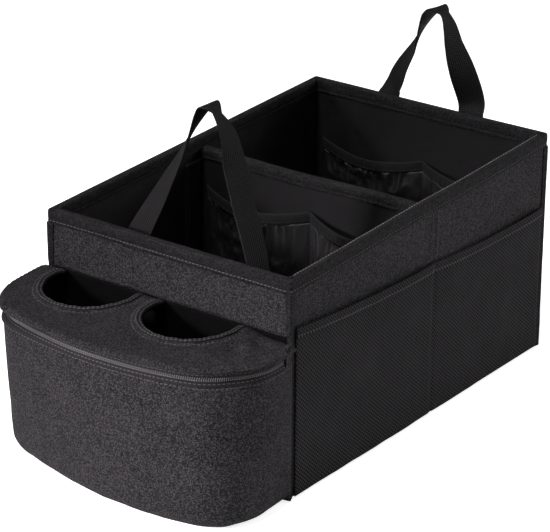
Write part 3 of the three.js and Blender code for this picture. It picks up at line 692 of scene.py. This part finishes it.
def build_divider():
    """The divider's sleeve, the tape over its top and the flaps that hold it to the walls."""
    sag = lambda xs: 1.1 * noise(xs, 0, 90, 61) - 1.2 * np.cos(math.pi * xs / 250)
    low, top = COVER_LOW[2], COVER_HIGH[2]
    half, radius = (COVER_HIGH[1] - COVER_LOW[1]) / 2, 1.2

    def cover_shift(xs, z):
        near = min(z - low, top - z)
        free = (1 - math.exp(-near / 14)) * (1 - np.exp(-(DIVIDER_REACH - np.abs(xs)) / 14))
        return 0.9 * free * (0.4 + noise(xs, z, 48, 63)), sag(xs) * ease(z / top)

    rise = [(-half, z) for z in np.arange(low, top - radius, 4.0)]
    rise += [(-half + radius * (1 - c), top - radius + radius * s)
             for c, s in directions(np.linspace(0, math.pi / 2, 5))]
    sleeve = over_divider(rise + [(-y, z) for y, z in rise[-2::-1]], 4.0, cover_shift)
    cloth("divider_sleeve", sleeve, 0.8, LINING, ["divider_cover", "divider_board"])

    def hem_shift(xs, z):
        puff = 0.35 * noise(xs, z * 0.2, 20, 66) + 0.1 * wave(xs, STITCH_PITCH)
        return puff * ease((DIVIDER_HIGH[2] - z) / 4), sag(xs)

    half, low, top = (DIVIDER_HIGH[1] - DIVIDER_LOW[1]) / 2, DIVIDER_LOW[2], DIVIDER_HIGH[2]
    rise = [(0.6 - half, low + 0.1), (0.1 - half, low + 0.3), (-half, low + 1.8), (0.35 - half, low + 2.6),
            (-half - 0.25, low + 4.5), (-half - 0.3, low + 6.5), (0.2 - half, low + 8.6),
            (1.3 - half, top - 0.3), (2.6 - half, top + 0.1)]
    hem = over_divider(rise + [(-y, z) for y, z in rise[::-1]], 2.5, hem_shift)
    cloth("divider_top_tape", hem, 0.7, HEM_CLOTH, ["divider_hem"])
    for row in (3, len(hem) - 4):
        sew(hem, row, "inner", 0.1)

    for name, sign in (("left", -1), ("right", 1)):
        low, high = corners(f"divider_{name}_tab")
        y, z = np.meshgrid(np.linspace(low[1], high[1], 10)[::-sign], np.linspace(low[2], high[2], 60))
        near = np.minimum(y - low[1], high[1] - y)
        stand = 0.5 * np.sqrt(np.clip(near / 3, 0, 1)) * (1 + 0.5 * noise(y, z, 22, 68))
        grid = grid_of((high[0] if sign < 0 else low[0]) - sign * (stand - 0.2), y, z)
        cloth(f"divider_{name}_flap", grid, 0.8, LINING, [f"divider_{name}_tab"])
        sew(grid, np.s_[:, 2], "inner", 0.05)


GATHERS = 8
POCKET_OUT = 1.5


def build_gathered_pocket(name, face_y, depth, seed):
    """Cloth gathered under an elastic: the folds are deep at the top and fade towards the foot."""
    (_, _, foot), (x_half, _, cloth_top) = corners(f"{name}_pocket")
    top = corners(f"{name}_pocket_elastic")[1][2]
    xs = np.linspace(-x_half, x_half, 281)
    share = (xs + x_half) / x_half
    within = share - np.minimum(np.floor(share), 1)
    swell = np.sin(math.pi * np.clip(within, 0, 1))
    warp = within + 0.035 * noise(xs, 0, 21, seed)
    droop = -6.5 * swell ** 1.4 + 1.5 * bell(xs, 10)

    v = np.linspace(0, 1, 64)[:, None]
    reach = 1 - (1 - v) ** 2
    fold = np.sin(math.pi * (GATHERS * warp + 0.5 * noise(xs, v * 40, 60, seed + 1) * (1 - v))) ** 2
    fold = fold * (0.5 + 0.5 * noise(xs, 0, 13, seed + 2))
    folds = 2.4 * fold * np.minimum(swell, 0.8) * (0.25 + 0.75 * v ** 1.5)
    drift = xs + 5 * noise(xs, v * 60, 24, seed + 6)
    crumple = (1.5 * creased(drift, v * 34, 5.2, seed + 3) * (0.3 + 0.7 * v)
               + 1.1 * creased(xs, v * 105, 10, seed + 4)
               + 0.6 * creased(drift, v * 105, 4.6, seed + 5)) * swell ** 0.5
    out = depth * swell ** 0.8 * reach + (folds + crumple) * reach * (1 - 0.2 * v)
    grid = grid_of(xs, face_y - POCKET_OUT - out, mix(foot, cloth_top, v) + droop * v ** 2)
    cloth(f"{name}_pocket_cloth", grid, 0.7, SATIN, [f"{name}_pocket"])

    v = np.linspace(0, 1, 9)[:, None]
    ruffle = np.abs(np.sin(math.pi * GATHERS * 2.5 * warp)) ** 0.7
    out = (depth * swell ** 0.8 + 1.7 * np.minimum(swell, 0.8) * (1 - v) + ruffle * swell * (1 - 0.6 * v)
           + 0.7 * np.sin(math.pi * v) ** 0.5)
    band = grid_of(xs, face_y - POCKET_OUT - out, mix(cloth_top - 0.5, top, v) + droop)
    cloth(f"{name}_pocket_band", band, 1.2, ELASTIC, [f"{name}_pocket_elastic"])
    sew(band, 2, "inner", 0.1)


def build_pockets():
    build_gathered_pocket("divider", SEAM_Y - (COVER_HIGH[1] - COVER_LOW[1]) / 2, 15, 71)
    build_gathered_pocket("back", BACK_Y - WALL, 11, 76)


# ---------------------------------------------------------------- pouch, lid and zip


def outline(half, reach, count=190, left_y=POUCH_BACK, right_y=POUCH_BACK):
    """The pouch's D outline, evenly spaced from its left end to its right end.

    Gives the points, their outward directions and their distances from the first one."""
    corner_x = half - CORNER_RADIUS
    centre_y = FRONT_Y - reach + FRONT_RADIUS
    between = FRONT_RADIUS - CORNER_RADIUS
    corner_y = centre_y - math.sqrt(between ** 2 - corner_x ** 2)
    turn = math.asin(corner_x / between)
    down = -math.pi / 2

    def arc(x, y, radius, start, stop, steps):
        sides = directions(np.linspace(start, stop, steps))
        return np.array([x, y]) + radius * sides, sides

    def straight(x, ys):
        return np.column_stack([0 * ys + x, ys]), np.tile([np.sign(x), 0.0], (len(ys), 1))

    ys = np.linspace(POUCH_BACK, corner_y, 20)[:-1]
    runs = [straight(-half, ys), arc(-corner_x, corner_y, CORNER_RADIUS, -math.pi, down - turn, 60),
            arc(0, centre_y, FRONT_RADIUS, down - turn, down + turn, 80),
            arc(corner_x, corner_y, CORNER_RADIUS, down + turn, 0, 60), straight(half, ys[::-1])]
    points, sides = (np.vstack(parts) for parts in zip(*runs))
    along = distances(points)
    middle = len(points) // 2
    first = np.interp(-left_y, -points[:middle, 1], along[:middle])
    last = np.interp(right_y, points[middle:, 1], along[middle:])
    wanted = np.linspace(first, last, count)
    return resample(points, along, wanted), unit(resample(sides, along, wanted)), wanted - first


def facing(out):
    """Direction of the outline as an angle: -180 left, -90 front, 0 right."""
    angle = np.degrees(np.arctan2(out[:, 1], out[:, 0]))
    return np.where(angle > 90, angle - 360, angle)


TOP_SWELL = ((-180, 1.0), (-150, 3.0), (-125, 5.0), (-108, 3.5), (-98, 0.5), (-86, 0.0), (-76, 0.5),
             (-60, -2.0), (-38, -4.0), (-15, -1.0), (0, 1.0))
BASE_SKEW = ((-180, 0.0), (-148, -2.0), (-121, -9.0), (-105, -9.0), (-99, -8.0), (-92, -5.0), (-85, -1.5),
             (-80, 1.5), (-74, 4.0), (-57, 7.0), (-39, 5.5), (-21, 3.0), (0, 2.0))


def swell_of(out, share):
    """How far the soft pouch stands out from a regular D: share is 0 at its base and 1 at the zip."""

    def smooth(table):
        values = np.interp(facing(out), *np.array(table).T)
        return np.convolve(np.pad(values, 6, mode="edge"), np.ones(13) / 13, mode="valid")

    return mix(smooth(BASE_SKEW), smooth(TOP_SWELL), share)


FOOT_ROUND = 13.0


def pouch_row(z):
    """The pouch's wall at one height: a soft D that rounds in to its base."""
    share = z / POUCH_TOP
    at, out, along = outline(mix(HALF + 2, POUCH_HALF, share), mix(100, POUCH_REACH, share))
    rounding = FOOT_ROUND - math.sqrt(FOOT_ROUND ** 2 - max(0.0, FOOT_ROUND - z) ** 2)
    ends = 1 - np.exp(-np.minimum(along, along[-1] - along) / 12)
    belly = 1.8 * math.sin(math.pi * min(1, share)) ** 0.8
    dent = 1.1 * noise(along, z, 60, 81) + 0.5 * noise(along, z * 1.6, 24, 82)
    crease = 0.7 * noise(along * 1.4, z * 0.5, 15, 83) * math.exp(-z / 16)
    pucker = 0.14 * wave(along, 6.1, 2 * noise(along, 0, 25, 84))
    pucker = pucker * (math.exp((z - POUCH_TOP) / 7) + 0.5 * math.exp(-z / 9))
    stand = ends * (belly + dent + crease + swell_of(out, share)) + pucker - rounding
    at = at + out * (stand - 0.4 * bell(z - POUCH_TOP + 3.0, 0.9))[:, None]
    at[[0, -1], 0] = (-HALF - 2.0, HALF + 2.0)
    at[[0, -1], 1] = POUCH_BACK + 1.1
    return np.column_stack([at, np.full(len(at), z)])


def build_pouch():
    """The pouch's wall and its base."""
    levels = np.concatenate([FOOT_ROUND * (1 - np.cos(np.linspace(0.12, math.pi / 2, 9))),
                             np.linspace(FOOT_ROUND, POUCH_TOP - 5, 34)[1:],
                             np.linspace(POUCH_TOP - 5, POUCH_TOP, 6)[1:]])
    grid = np.array([pouch_row(float(z)) for z in levels])
    cloth("pouch_cloth", grid, 1.6, OXFORD, ["pouch_wall"])
    sew(grid, int(np.argmin(np.abs(levels - (POUCH_TOP - 3.0)))), lift=0.05)

    edge = grid[0, ::-1]
    shares = np.linspace(1.0, 0.02, 14)[:, None]
    y = np.minimum(POUCH_BACK + (edge[:, 1] - POUCH_BACK) * shares, POUCH_BACK)
    base = grid_of(edge[:, 0] * shares, y, levels[0] * np.linspace(1, 0, 14)[:, None] ** 2 + 0.02)
    cloth("pouch_base_cloth", base, 1.6, OXFORD, ["pouch_base"])


LID_STAND = 3.0
LID_BACK = FRONT_Y - GAP
LID_STEP = 2.6
LID_ROLL = 2.2
CUP_PROFILE = ((6.0, -3.9), (4.5, -4.3), (2.0, -4.1), (0.5, -3.4), (-0.1, -2.0), (-0.1, -0.6), (0.3, 0.2),
               (1.2, 0.75), (1.9, 0.5), (2.5, 0.8), (4.0, 0.8), (5.0, 0.75), (5.6, 0.4), (6.1, -0.3))


def lid_relief(x, y):
    """Height of the lid's cloth over its plane: raised along the cup bindings, a fold at the right end."""
    lift = 0.5 * noise(x, y, 38, 101) + 0.25 * noise(x, y, 15, 102)
    for cx in CUP_X.values():
        away = np.hypot(x - cx, y - CUP_Y) - CUP_RADIUS
        angle = np.arctan2(y - CUP_Y, x - cx)
        pucker = np.sin(angle * 19 + 2 * noise(x, y, 30, 104)) * np.exp(-np.maximum(away, 0) / 9)
        lift = lift + 0.9 * bell(away - 3, 5) - 0.5 * bell(away - 9.0, 1.3) + 0.35 * pucker
    # the slack corner at the right: a shallow triangular fold that runs from the wall to the edge
    ahead = FRONT_Y - y
    ridge = (x - 92) * 0.80 + (8 - ahead) * 0.60
    lift = lift + 1.6 * bell(ridge, 7) * ease((x - 76) / 16) * ease((ahead - 2) / 12)
    lift = lift - 3.2 * ease((x - 88) / 34) * ease((ahead - 3) / 18)
    lift = lift - 2.0 * ease((x - 78) / 18) * ease((ahead - 3) / 14) * (1 - ease((ahead - 42) / 22))
    # beside the hinge the cloth stays below the wall's line, so that the open lid clears the wall
    lift = lift * ease(ahead / 22) - 0.9 * (1 - ease(ahead / 9))
    # the right corner dips by the wall, so that a strip of the wall's painted shade shows below the lid's
    # edge
    return lift - 3.6 * ease((x - 84) / 26) * ease((26 - ahead) / 20)


def on_lid(x, y):
    return lid_z(y) + lid_relief(x, y)


def cup_angles(radius, line_y, count):
    """Angles of an arc round a cup opening, from its right end on a line along X to its left end."""
    start = math.asin((line_y - CUP_Y) / radius)
    return np.linspace(start, -math.pi - start, count)


def triangulate(line):
    """Points and triangles that fill a closed line, with the line's own points first."""
    following = np.roll(line, -1, 0)

    def inside(p):
        x, y = p[:, 0:1], p[:, 1:2]
        x0, y0, x1, y1 = line[:, 0], line[:, 1], following[:, 0], following[:, 1]
        crosses = ((y0 > y) != (y1 > y)) & (x < (x1 - x0) * (y - y0) / np.where(y1 == y0, 1e-9, y1 - y0) + x0)
        return crosses.sum(1) % 2 == 1

    def to_edge(p):
        run = (following - line)[None]
        t = np.clip(((p[:, None] - line) * run).sum(2) / np.maximum((run ** 2).sum(2), 1e-9), 0, 1)
        return np.linalg.norm(p[:, None] - (line + run * t[..., None]), axis=2).min(1)

    x, y = np.meshgrid(np.arange(-POUCH_HALF - 6, POUCH_HALF + 6, LID_STEP),
                       np.arange(FRONT_Y - POUCH_REACH - 10, FRONT_Y, LID_STEP))
    x[1::2] += LID_STEP / 2
    inner = np.column_stack([x.ravel(), y.ravel()])
    inner = inner[inside(inner)]
    inner = inner[to_edge(inner) > 1.2]
    edges = [(i, (i + 1) % len(line)) for i in range(len(line))]
    points, _, faces, *_ = delaunay_2d_cdt([Vector(p) for p in np.vstack([line, inner])], edges, [], 1, 0.01)
    return np.array([tuple(p) for p in points]), np.array([f for f in faces if len(f) == 3])


def build_lid():
    """The lid's cloth, which has the two cup openings in its back edge."""
    at, out, _ = outline(POUCH_HALF, POUCH_REACH)
    at = at + out * (swell_of(out, 1.0) + LID_STAND)[:, None]
    notch = HALF - 5.3
    radius = CUP_RADIUS + 1.1
    bites = [np.array([CUP_X[name], CUP_Y]) + radius * directions(cup_angles(radius, LID_BACK, 70))
             for name in ("right", "left")]
    rim = np.vstack([at[1:-1], [(at[-1, 0], POUCH_BACK), (notch, POUCH_BACK), (notch, LID_BACK)], *bites,
                     [(-notch, LID_BACK), (-notch, POUCH_BACK), (at[0, 0], POUCH_BACK)]])
    dense = []
    for a, b in zip(rim, np.roll(rim, -1, 0)):
        count = max(1, round(math.dist(a, b) / 3.0))
        dense += [a + (b - a) * i / count for i in range(count)]
    flat, faces = triangulate(np.array(dense))

    to_front = np.linalg.norm(flat[:, None] - at[None], axis=2).min(1)
    roll = LID_ROLL * (1 - np.sqrt(1 - (1 - np.clip(to_front / LID_STEP, 0, 1)) ** 2))
    top = on_lid(flat[:, 0], flat[:, 1]) - roll
    count = len(flat)
    upper = np.column_stack([flat, top])
    lower = np.column_stack([flat, top - LID_THICK + 0.4 + roll * 0.3])
    edges = [(f[k], f[(k + 1) % 3]) for f in faces.tolist() for k in range(3)]
    known = set(edges)
    sides = [(b, a, a + count, b + count) for a, b in edges if (b, a) not in known]
    all_faces = faces.tolist() + (faces[:, ::-1] + count).tolist() + sides
    piece = make("lid_cloth", [(np.vstack([upper, lower]), all_faces, np.vstack([flat, flat]))], LID_SHADED_OXFORD,
                 ["lid_panel"])


def build_cup_tapes():
    """The tape bound over each cup opening's edge, and the stitching round it."""
    for name, cx in CUP_X.items():
        angles = cup_angles(CUP_RADIUS + 6, LID_BACK - 0.4, 120)
        depth, rise = np.array(CUP_PROFILE).T[:, :, None]
        order = np.arange(len(CUP_PROFILE))[:, None]
        radial = (CUP_RADIUS + depth + 0.22 * noise(angles * 30, order, 9, 111)
                  + 0.12 * np.sin(angles * 60))
        y = np.minimum(CUP_Y + radial * np.sin(angles), LID_BACK)
        middle = CUP_RADIUS + 4
        relief = lid_relief(cx + middle * np.cos(angles), CUP_Y + middle * np.sin(angles))
        grid = grid_of(cx + radial * np.cos(angles), y, lid_z(y) + relief + rise)
        cloth(f"{name}_cup_tape", grid, 0.5, BINDING, [f"{name}_cup_binding"])
        sew(grid, 8, "lid")
        sew(grid, 11, "lid", 0.05)
        outer = CUP_RADIUS + 9.0
        x, y = (np.array([cx, CUP_Y]) + outer * directions(cup_angles(outer, LID_BACK - 1, 120))).T
        up = np.tile([0, 0, 1.0], (len(x), 1))
        thread_parts["lid"].append(stitches(np.column_stack([x, y, on_lid(x, y)]), up, 0.05))


def zip_line(out_by, z, left_y=ZIP_LEFT, count=240):
    """The zip's course. Round the left corner, where the slider travels, it keeps to a regular arc."""
    at, out, along = outline(POUCH_HALF, POUCH_REACH, count, left_y, ZIP_RIGHT)
    coil_z = (COIL_MIDDLE + UPPER_COIL_LOW) / 2
    clear = ease((-92 - facing(out)) / 9) * (1 - ease((abs(z - coil_z) - 3.4) / 2.5))
    stand = mix(swell_of(out, 1.0) + out_by, min(out_by - 0.4, -0.4), clear)
    return at + out * stand[:, None], out, along


def zip_sway(along):
    return 0.3 * noise(along, 0, 45, 121)


def build_zip():
    """The zip's tapes and teeth, and the band under the lid's edge."""
    around = None
    for name, node, thick, material, seen, held, rests_on, profile, seams in (
            ("zip_lower_cloth", "zip_lower_tape", 0.6, TAPE, 5.5, "stretched", "pouch_wall",
             [(1.2, TAPE_LOW - 1.2), (1.2, TAPE_LOW - 0.4), (0.8, TAPE_LOW + 0.6), (0.35, TAPE_LOW + 1.2),
              (0.6, TAPE_LOW + 1.8), (0.35, TAPE_LOW + 2.6), (0.1, COIL_LOW + 0.1)], [(3, "box", 0.15)]),
            ("zip_upper_cloth", "zip_upper_tape", 0.6, TAPE, 6.5, "stretched", "lid_band",
             [(0.2, COIL_TOP - 0.1), (0.7, COIL_TOP + 0.6), (1.3, COIL_TOP + 1.4), (1.2, COIL_TOP + 1.9),
              (2.0, COIL_TOP + 2.7), (2.4, BAND_LOW - 0.1)], [(4, "lid", 0.1)]),
            ("lid_edge_band", "lid_band", 0.9, OXFORD, 4.2, "folded", "lid_panel",
             [(2.3, BAND_LOW - 0.5), (2.75, BAND_LOW), (3.15, BAND_LOW + 0.8), (3.3, BAND_LOW + 1.6),
              (3.2, BAND_LOW + 2.3)], [])):
        rows = []
        for out_by, z in profile:
            at, _, along = zip_line(out_by, z)
            rows.append(np.column_stack([at, z + zip_sway(along)]))
        grid = np.array(rows)
        around = around or distances(grid[3])[-1]
        # its edges are sewn in, so only the seen width of its cut shows
        cloth(name, grid, thick, material, [node])
        for row, where, lift in seams:
            sew(grid, row, where, lift)

    make("zip_lower_teeth", [teeth(COIL_MIDDLE - 0.75, -1, ZIP_LEFT)], COIL_WITH_GLINT, ["zip_lower_coil"])
    make("zip_upper_teeth", [teeth(COIL_MIDDLE + GAP + 0.75, 1, UPPER_COIL_LEFT)], COIL_WITH_GLINT, ["zip_upper_coil"])


TOOTH_PITCH = 1.9
TOOTH_THICK = 0.42
TOOTH_LEAN = 0.25
TOOTH_RINGS = ((-0.9, -0.55), (0.25, -0.75), (0.75, 0.0), (0.25, 0.75), (-0.9, 0.55))


def teeth(z, flip, left_y):
    """A spiral coil seen as a row of small rounded loops, each leaning a little."""
    at, out, along = zip_line(0.0, z, left_y, 900)
    middles = (np.arange(int(along[-1] / TOOTH_PITCH)) + 0.5) * TOOTH_PITCH
    centre, side = resample(at, along, middles), unit(resample(out, along, middles))
    tangent = np.column_stack([-side[:, 1], side[:, 0]])
    ring = directions(np.arange(6) * math.pi / 3) * TOOTH_THICK
    return tubes([[np.column_stack([centre + side * (o + c) + tangent * (s + TOOTH_LEAN * flip * h),
                                    z + h + zip_sway(middles)]) for c, s in ring] for o, h in TOOTH_RINGS])


def build_end_tabs():
    """The cloth that closes the pouch's sides between the zip's ends and the wall."""
    for name, sign, end in (("left", -1, ZIP_LEFT), ("right", 1, ZIP_RIGHT)):
        low, high = POUCH_TOP - 0.6, lid_z(end) - 0.6
        y, z = np.meshgrid(np.linspace(end, POUCH_BACK + 1.0, 14)[::sign], np.linspace(low, high, 12))
        away = (y - end) / (POUCH_BACK - end)
        stand = 2.0 - ease(away) + 0.5 * np.sin(math.pi * (z - low) / (high - low)) * (1 - away)
        stand = stand - (stand + POUCH_HALF - HALF - 1.9) * ease((away - 0.55) / 0.45)
        grid = grid_of(sign * (POUCH_HALF + stand + 0.2 * noise(y, z, 8, 131)), y, z)
        cloth(f"zip_{name}_end_cloth", grid, 0.9, OXFORD, [f"zip_{name}_end_tab"])
        sew(grid, np.s_[:, 2 if sign > 0 else -3], lift=0.05)


# ---------------------------------------------------------------- handles

TWIST_TURN = -53
LOOP_SHARE, LOOP_HEIGHT = 0.88, 0.93
FALL_HEIGHTS = (0.955, 0.84, 0.62, 0.36)
FALL_SHARES = (0, 0.17, 0.31, 0.53)
FOOT_LENGTH = 26
HANDLE_STEPS = 260
FRONT_HANDLE = dict(top=311, rise=-10.5, foot=-52, spacing=126, centre=15, rise_lean=17, lean=39, apex=-0.08,
                    twist=0.65, twist_share=0.61, fall=0.13, turns=(-3, -85, -92, -52, -104, -96))
BACK_HANDLE = dict(top=309, rise=7, foot=-12, spacing=87, centre=-2.5, rise_lean=8, lean=-8, apex=0.3,
                   twist=0.53, twist_share=0.55, fall=0.26, turns=(-26, -100, -99, -66, -96, -156))


def handle_stations(face_y, rim_height, h):
    """Centres and turns along a handle, the same ones that its CAD solid follows."""
    rise, loop, top, fall, middle, settle = h["turns"]
    spread = h["spacing"] / 2
    rise_z, foot_z = rim_height + h["rise"], rim_height + h["foot"]
    flare = spread * (rise_z - foot_z) / (h["top"] - rise_z) / 2

    def foot(side, z, turn):
        return (h["centre"] + side * (spread + flare), face_y, z), turn

    def settled(side, turn):
        x = h["centre"] + side * (spread + flare / 2)
        return (x, face_y + h["rise_lean"] / 2, (rise_z + foot_z) / 2), turn

    def place(share, height, turn):
        lean = mix(h["rise_lean"], h["lean"], math.sin(height * math.pi / 2))
        return (h["centre"] + spread * share, face_y + lean, mix(rise_z, h["top"], height)), turn

    apex, twist, share = h["apex"], h["twist"], h["twist_share"]
    left = lambda along, height, turn: place(mix(-1, apex, along), height, turn)
    falls = zip((fall, (fall + middle) / 2, middle, (middle + settle) / 2), FALL_SHARES, FALL_HEIGHTS)
    return foot_z, [
        foot(-1, foot_z - FOOT_LENGTH, 0), foot(-1, foot_z, 0), settled(-1, rise / 4), left(0, 0, rise),
        left(share * 0.48, twist / 2, (rise + TWIST_TURN) / 2), left(share, twist, TWIST_TURN),
        left(LOOP_SHARE, LOOP_HEIGHT, loop), place(apex, 1, top),
        *(place(mix(apex, 1, h["fall"] + along), height, turn) for turn, along, height in falls),
        place(1, 0, settle), settled(1, mix(settle, -180, 0.75)),
        foot(1, foot_z, -180), foot(1, foot_z - FOOT_LENGTH, -180)]


def centripetal(points, t):
    """Catmull-Rom curve with centripetal spacing, at t from 0 to 1, as the CAD solid's."""
    points = [np.array(p, float) for p in points]
    place = (len(points) - 1) * t
    k = min(int(place), len(points) - 2)
    w = place - k
    p1, p2 = points[k], points[k + 1]
    p0 = points[k - 1] if k > 0 else 2 * points[0] - points[1]
    p3 = points[k + 2] if k + 2 < len(points) else 2 * points[-1] - points[-2]
    d0, d1, d2 = (max(float(((b - a) ** 2).sum()) ** 0.25, 1e-4) for a, b in ((p0, p1), (p1, p2), (p2, p3)))
    t1 = ((p1 - p0) / d0 - (p2 - p0) / (d0 + d1) + (p2 - p1) / d1) * d1
    t2 = ((p2 - p1) / d1 - (p3 - p1) / (d1 + d2) + (p3 - p2) / d2) * d1
    a = 2 * p1 - 2 * p2 + t1 + t2
    b = -3 * p1 + 3 * p2 - 2 * t1 - t2
    return p1 + t1 * w + b * w * w + a * w ** 3


def handle_course(face_y, rim_height, handle):
    """Centres of a strap along its length, with the directions across it and out of its face."""
    foot_z, stations = handle_stations(face_y, rim_height, handle)
    path, turns = zip(*stations)
    rise_z = path[3][2]
    centres, acrosses, normals = [], [], []
    for t in np.arange(HANDLE_STEPS + 1) / HANDLE_STEPS:
        centre = centripetal(path, t)
        along = centripetal(path, min(1, t + 0.002)) - centripetal(path, max(0, t - 0.002))
        along /= np.linalg.norm(along)
        place = t * (len(path) - 1)
        k = min(int(place), len(path) - 2)
        turn = math.radians(mix(turns[k], turns[k + 1], place - k))
        if centre[2] < foot_z or (centre[1] < face_y and centre[2] < rise_z):
            centre[1], along[1] = face_y, 0
        across = np.array([math.cos(turn), math.sin(turn), 0.0])
        across = unit(across - along * across.dot(along))
        centres.append(centre)
        acrosses.append(across)
        normals.append(np.cross(along, across))
    return np.array(centres), np.array(acrosses), np.array(normals)


def build_handle(name, face_y, rim_height, handle, seed):
    """A strap of webbing with rounded edges, gently cupped and rippled where it is free."""
    centres, acrosses, normals = handle_course(face_y, rim_height, handle)
    length = distances(centres)
    free = ease((centres[:, 2] - rim_height) / 25)
    rows, wides = [], []
    for c, s in directions(np.linspace(0, 2 * math.pi, 28, endpoint=False)):
        wide = WEB_WIDTH / 2 * math.copysign(abs(c) ** 0.28, c)
        edge = 1 + 0.18 * ease((abs(wide) - WEB_WIDTH * 0.4) / 2)
        thick = WEB_THICK / 2 * math.copysign(abs(s) ** 0.7, s) * edge
        cup = free * 0.9 * (1 - (2 * wide / WEB_WIDTH) ** 2) * noise(length, 0, 60, seed)
        ripple = free * 0.5 * noise(length, wide, 22, seed + 1)
        rows.append(centres + acrosses * wide + normals * (thick + cup + ripple)[:, None])
        wides.append(wide + WEB_WIDTH)
    grid = np.array(rows)
    index = np.arange(grid.shape[0] * grid.shape[1]).reshape(grid.shape[:2])
    index = np.vstack([index, index[:1]])[::-1]
    faces = quads_between(index).tolist() + [index[:-1, 0].tolist(), index[:-1, -1][::-1].tolist()]
    uv = np.stack(np.meshgrid(length, wides), axis=2).reshape(-1, 2)
    piece = make(f"{name}_webbing", [(grid.reshape(-1, 3), faces, uv)], WEBBING, [name])
    for foot in (slice(3, 18), slice(HANDLE_STEPS - 18, HANDLE_STEPS - 3)):
        for shift in (2.5 - WEB_WIDTH / 2, WEB_WIDTH / 2 - 2.5):
            for face in (1, -1):
                line = centres[foot] + acrosses[foot] * shift + normals[foot] * face * WEB_THICK / 2
                thread_parts["box"].append(stitches(line, normals[foot] * face))


# ---------------------------------------------------------------- assemble

build_walls()
build_bottom()
build_rim()
build_corner_seams()
build_mesh_pockets()
build_divider()
build_pockets()
build_pouch()
build_lid()
build_cup_tapes()
build_zip()
build_end_tabs()
build_handle("front_handle", FRONT_Y + WALL + GAP + WEB_THICK / 2, RIM_FRONT, FRONT_HANDLE, 141)
build_handle("back_handle", BACK_Y + HEM_OUT + GAP + WEB_THICK / 2, RIM_BACK, BACK_HANDLE, 151)
for where, parts in thread_parts.items():
    # the edge row's light thread is a painted highlight
    thread = {"inner": THREAD_DARK, "edge": HIGHLIGHT_THREAD}.get(where, THREAD_LIGHT)
    make(f"{where}_thread", parts, thread, body="lid" if where == "lid" else "box")

for name, node in frame["nodes"].items():
    finish = {"dark_metal": METAL, "coil_plastic": COIL_WITH_GLINT, "board": BOARD}
    node.data.materials.clear()
    node.data.materials.append(finish.get(SLOT_OF[name], OXFORD))

# ---------------------------------------------------------------- stage, light and camera

AZIMUTH, ELEVATION, ROLL = 37.074, 23.371, 0.141
FOCAL_PIXELS = 2772.29
IMAGE_WIDTH, IMAGE_HEIGHT = 550, 532
CENTRE_PIXEL = (248.40, 282.95)
CAMERA_PLACE = (1337.9, -1803.7, 1083.7)
LAMP_COLOUR = (1.0, 0.945, 1.0)
FLOOR_SIZE = 6


def add_camera():
    data = bpy.data.cameras.new("camera")
    data.sensor_width = 36
    data.lens = FOCAL_PIXELS * data.sensor_width / IMAGE_WIDTH
    data.shift_x = (IMAGE_WIDTH / 2 - CENTRE_PIXEL[0]) / IMAGE_WIDTH
    data.shift_y = (CENTRE_PIXEL[1] - IMAGE_HEIGHT / 2) / IMAGE_WIDTH
    data.clip_end = 100
    camera = link(bpy.data.objects.new("camera", data))
    a, e = math.radians(AZIMUTH), math.radians(ELEVATION)
    back = Vector((math.sin(a) * math.cos(e), -math.cos(a) * math.cos(e), math.sin(e)))
    right = Vector((math.cos(a), math.sin(a), 0))
    turn = Matrix((right, back.cross(right), back)).transposed().to_4x4()
    roll = Matrix.Rotation(math.radians(ROLL), 4, "Z")
    camera.matrix_world = Matrix.Translation(Vector(CAMERA_PLACE) * MM) @ turn @ roll
    bpy.context.scene.camera = camera


def add_floor():
    mesh = bpy.data.meshes.new("floor")
    s = FLOOR_SIZE
    mesh.from_pydata([(-s, -s, 0), (s, -s, 0), (s, s, 0), (-s, s, 0)], [], [(0, 1, 2, 3)])
    n = Nodes("floor")
    place = n.node("ShaderNodeTexCoord").outputs["Object"]
    speck = n.noise(place, 40.0, 2.0, 0.5)
    n.finish(n.mix(speck, (0.88, 0.88, 0.88, 1), (0.9, 0.9, 0.9, 1)), 0.9, speck, 0.0002, 0.2, 0.1)
    seen = n.node("ShaderNodeLightPath").outputs["Is Camera Ray"]
    n.put(n.shader.inputs["Emission Strength"], n.times(seen, 0.8))
    n.shader.inputs["Emission Color"].default_value = (1, 1, 1, 1)
    mesh.materials.append(n.material)
    floor = link(bpy.data.objects.new("floor", mesh))
    floor.location.z = -0.0005


def add_lamp(name, place, target, size, watts, spread=180):
    """A square lamp. Its place, target and size are in metres."""
    data = bpy.data.lights.new(name, "AREA")
    data.shape = "RECTANGLE"
    data.size, data.size_y, data.energy = size, size, watts
    data.spread = math.radians(spread)
    data.color = LAMP_COLOUR
    lamp = link(bpy.data.objects.new(name, data))
    lamp.location = place
    lamp.rotation_euler = (Vector(place) - Vector(target)).to_track_quat("Z", "Y").to_euler()


def add_world(light, seen):
    """A white world that lights the part with one strength and is seen with another."""
    world = bpy.data.worlds.new("world")
    world.use_nodes = True
    nodes, links = world.node_tree.nodes, world.node_tree.links
    background = nodes["Background"]
    path = nodes.new("ShaderNodeLightPath")
    most = nodes.new("ShaderNodeMath")
    most.operation = "MAXIMUM"
    links.new(path.outputs["Is Camera Ray"], most.inputs[0])
    links.new(path.outputs["Is Transmission Ray"], most.inputs[1])
    strength = nodes.new("ShaderNodeMapRange")
    strength.inputs[3].default_value, strength.inputs[4].default_value = light, seen
    links.new(most.outputs[0], strength.inputs[0])
    links.new(strength.outputs[0], background.inputs[1])
    background.inputs[0].default_value = (1, 1, 1, 1)
    bpy.context.scene.world = world


add_camera()
add_floor()
add_world(0.18, 1.0)
add_lamp("key", (-1.3, -2.45, 1.05), (0.10, -0.2, 0.1), 0.45, 1.5, 15)
add_lamp("side", (2.0, 1.9, 0.9), (0, 0, 0.1), 1.0, 28)
add_lamp("top", (-0.1, -1.1, 2.5), (0.06, 0.15, 0.2), 0.9, 4.4, 42)

scene = bpy.context.scene
scene.view_settings.view_transform = "Standard"
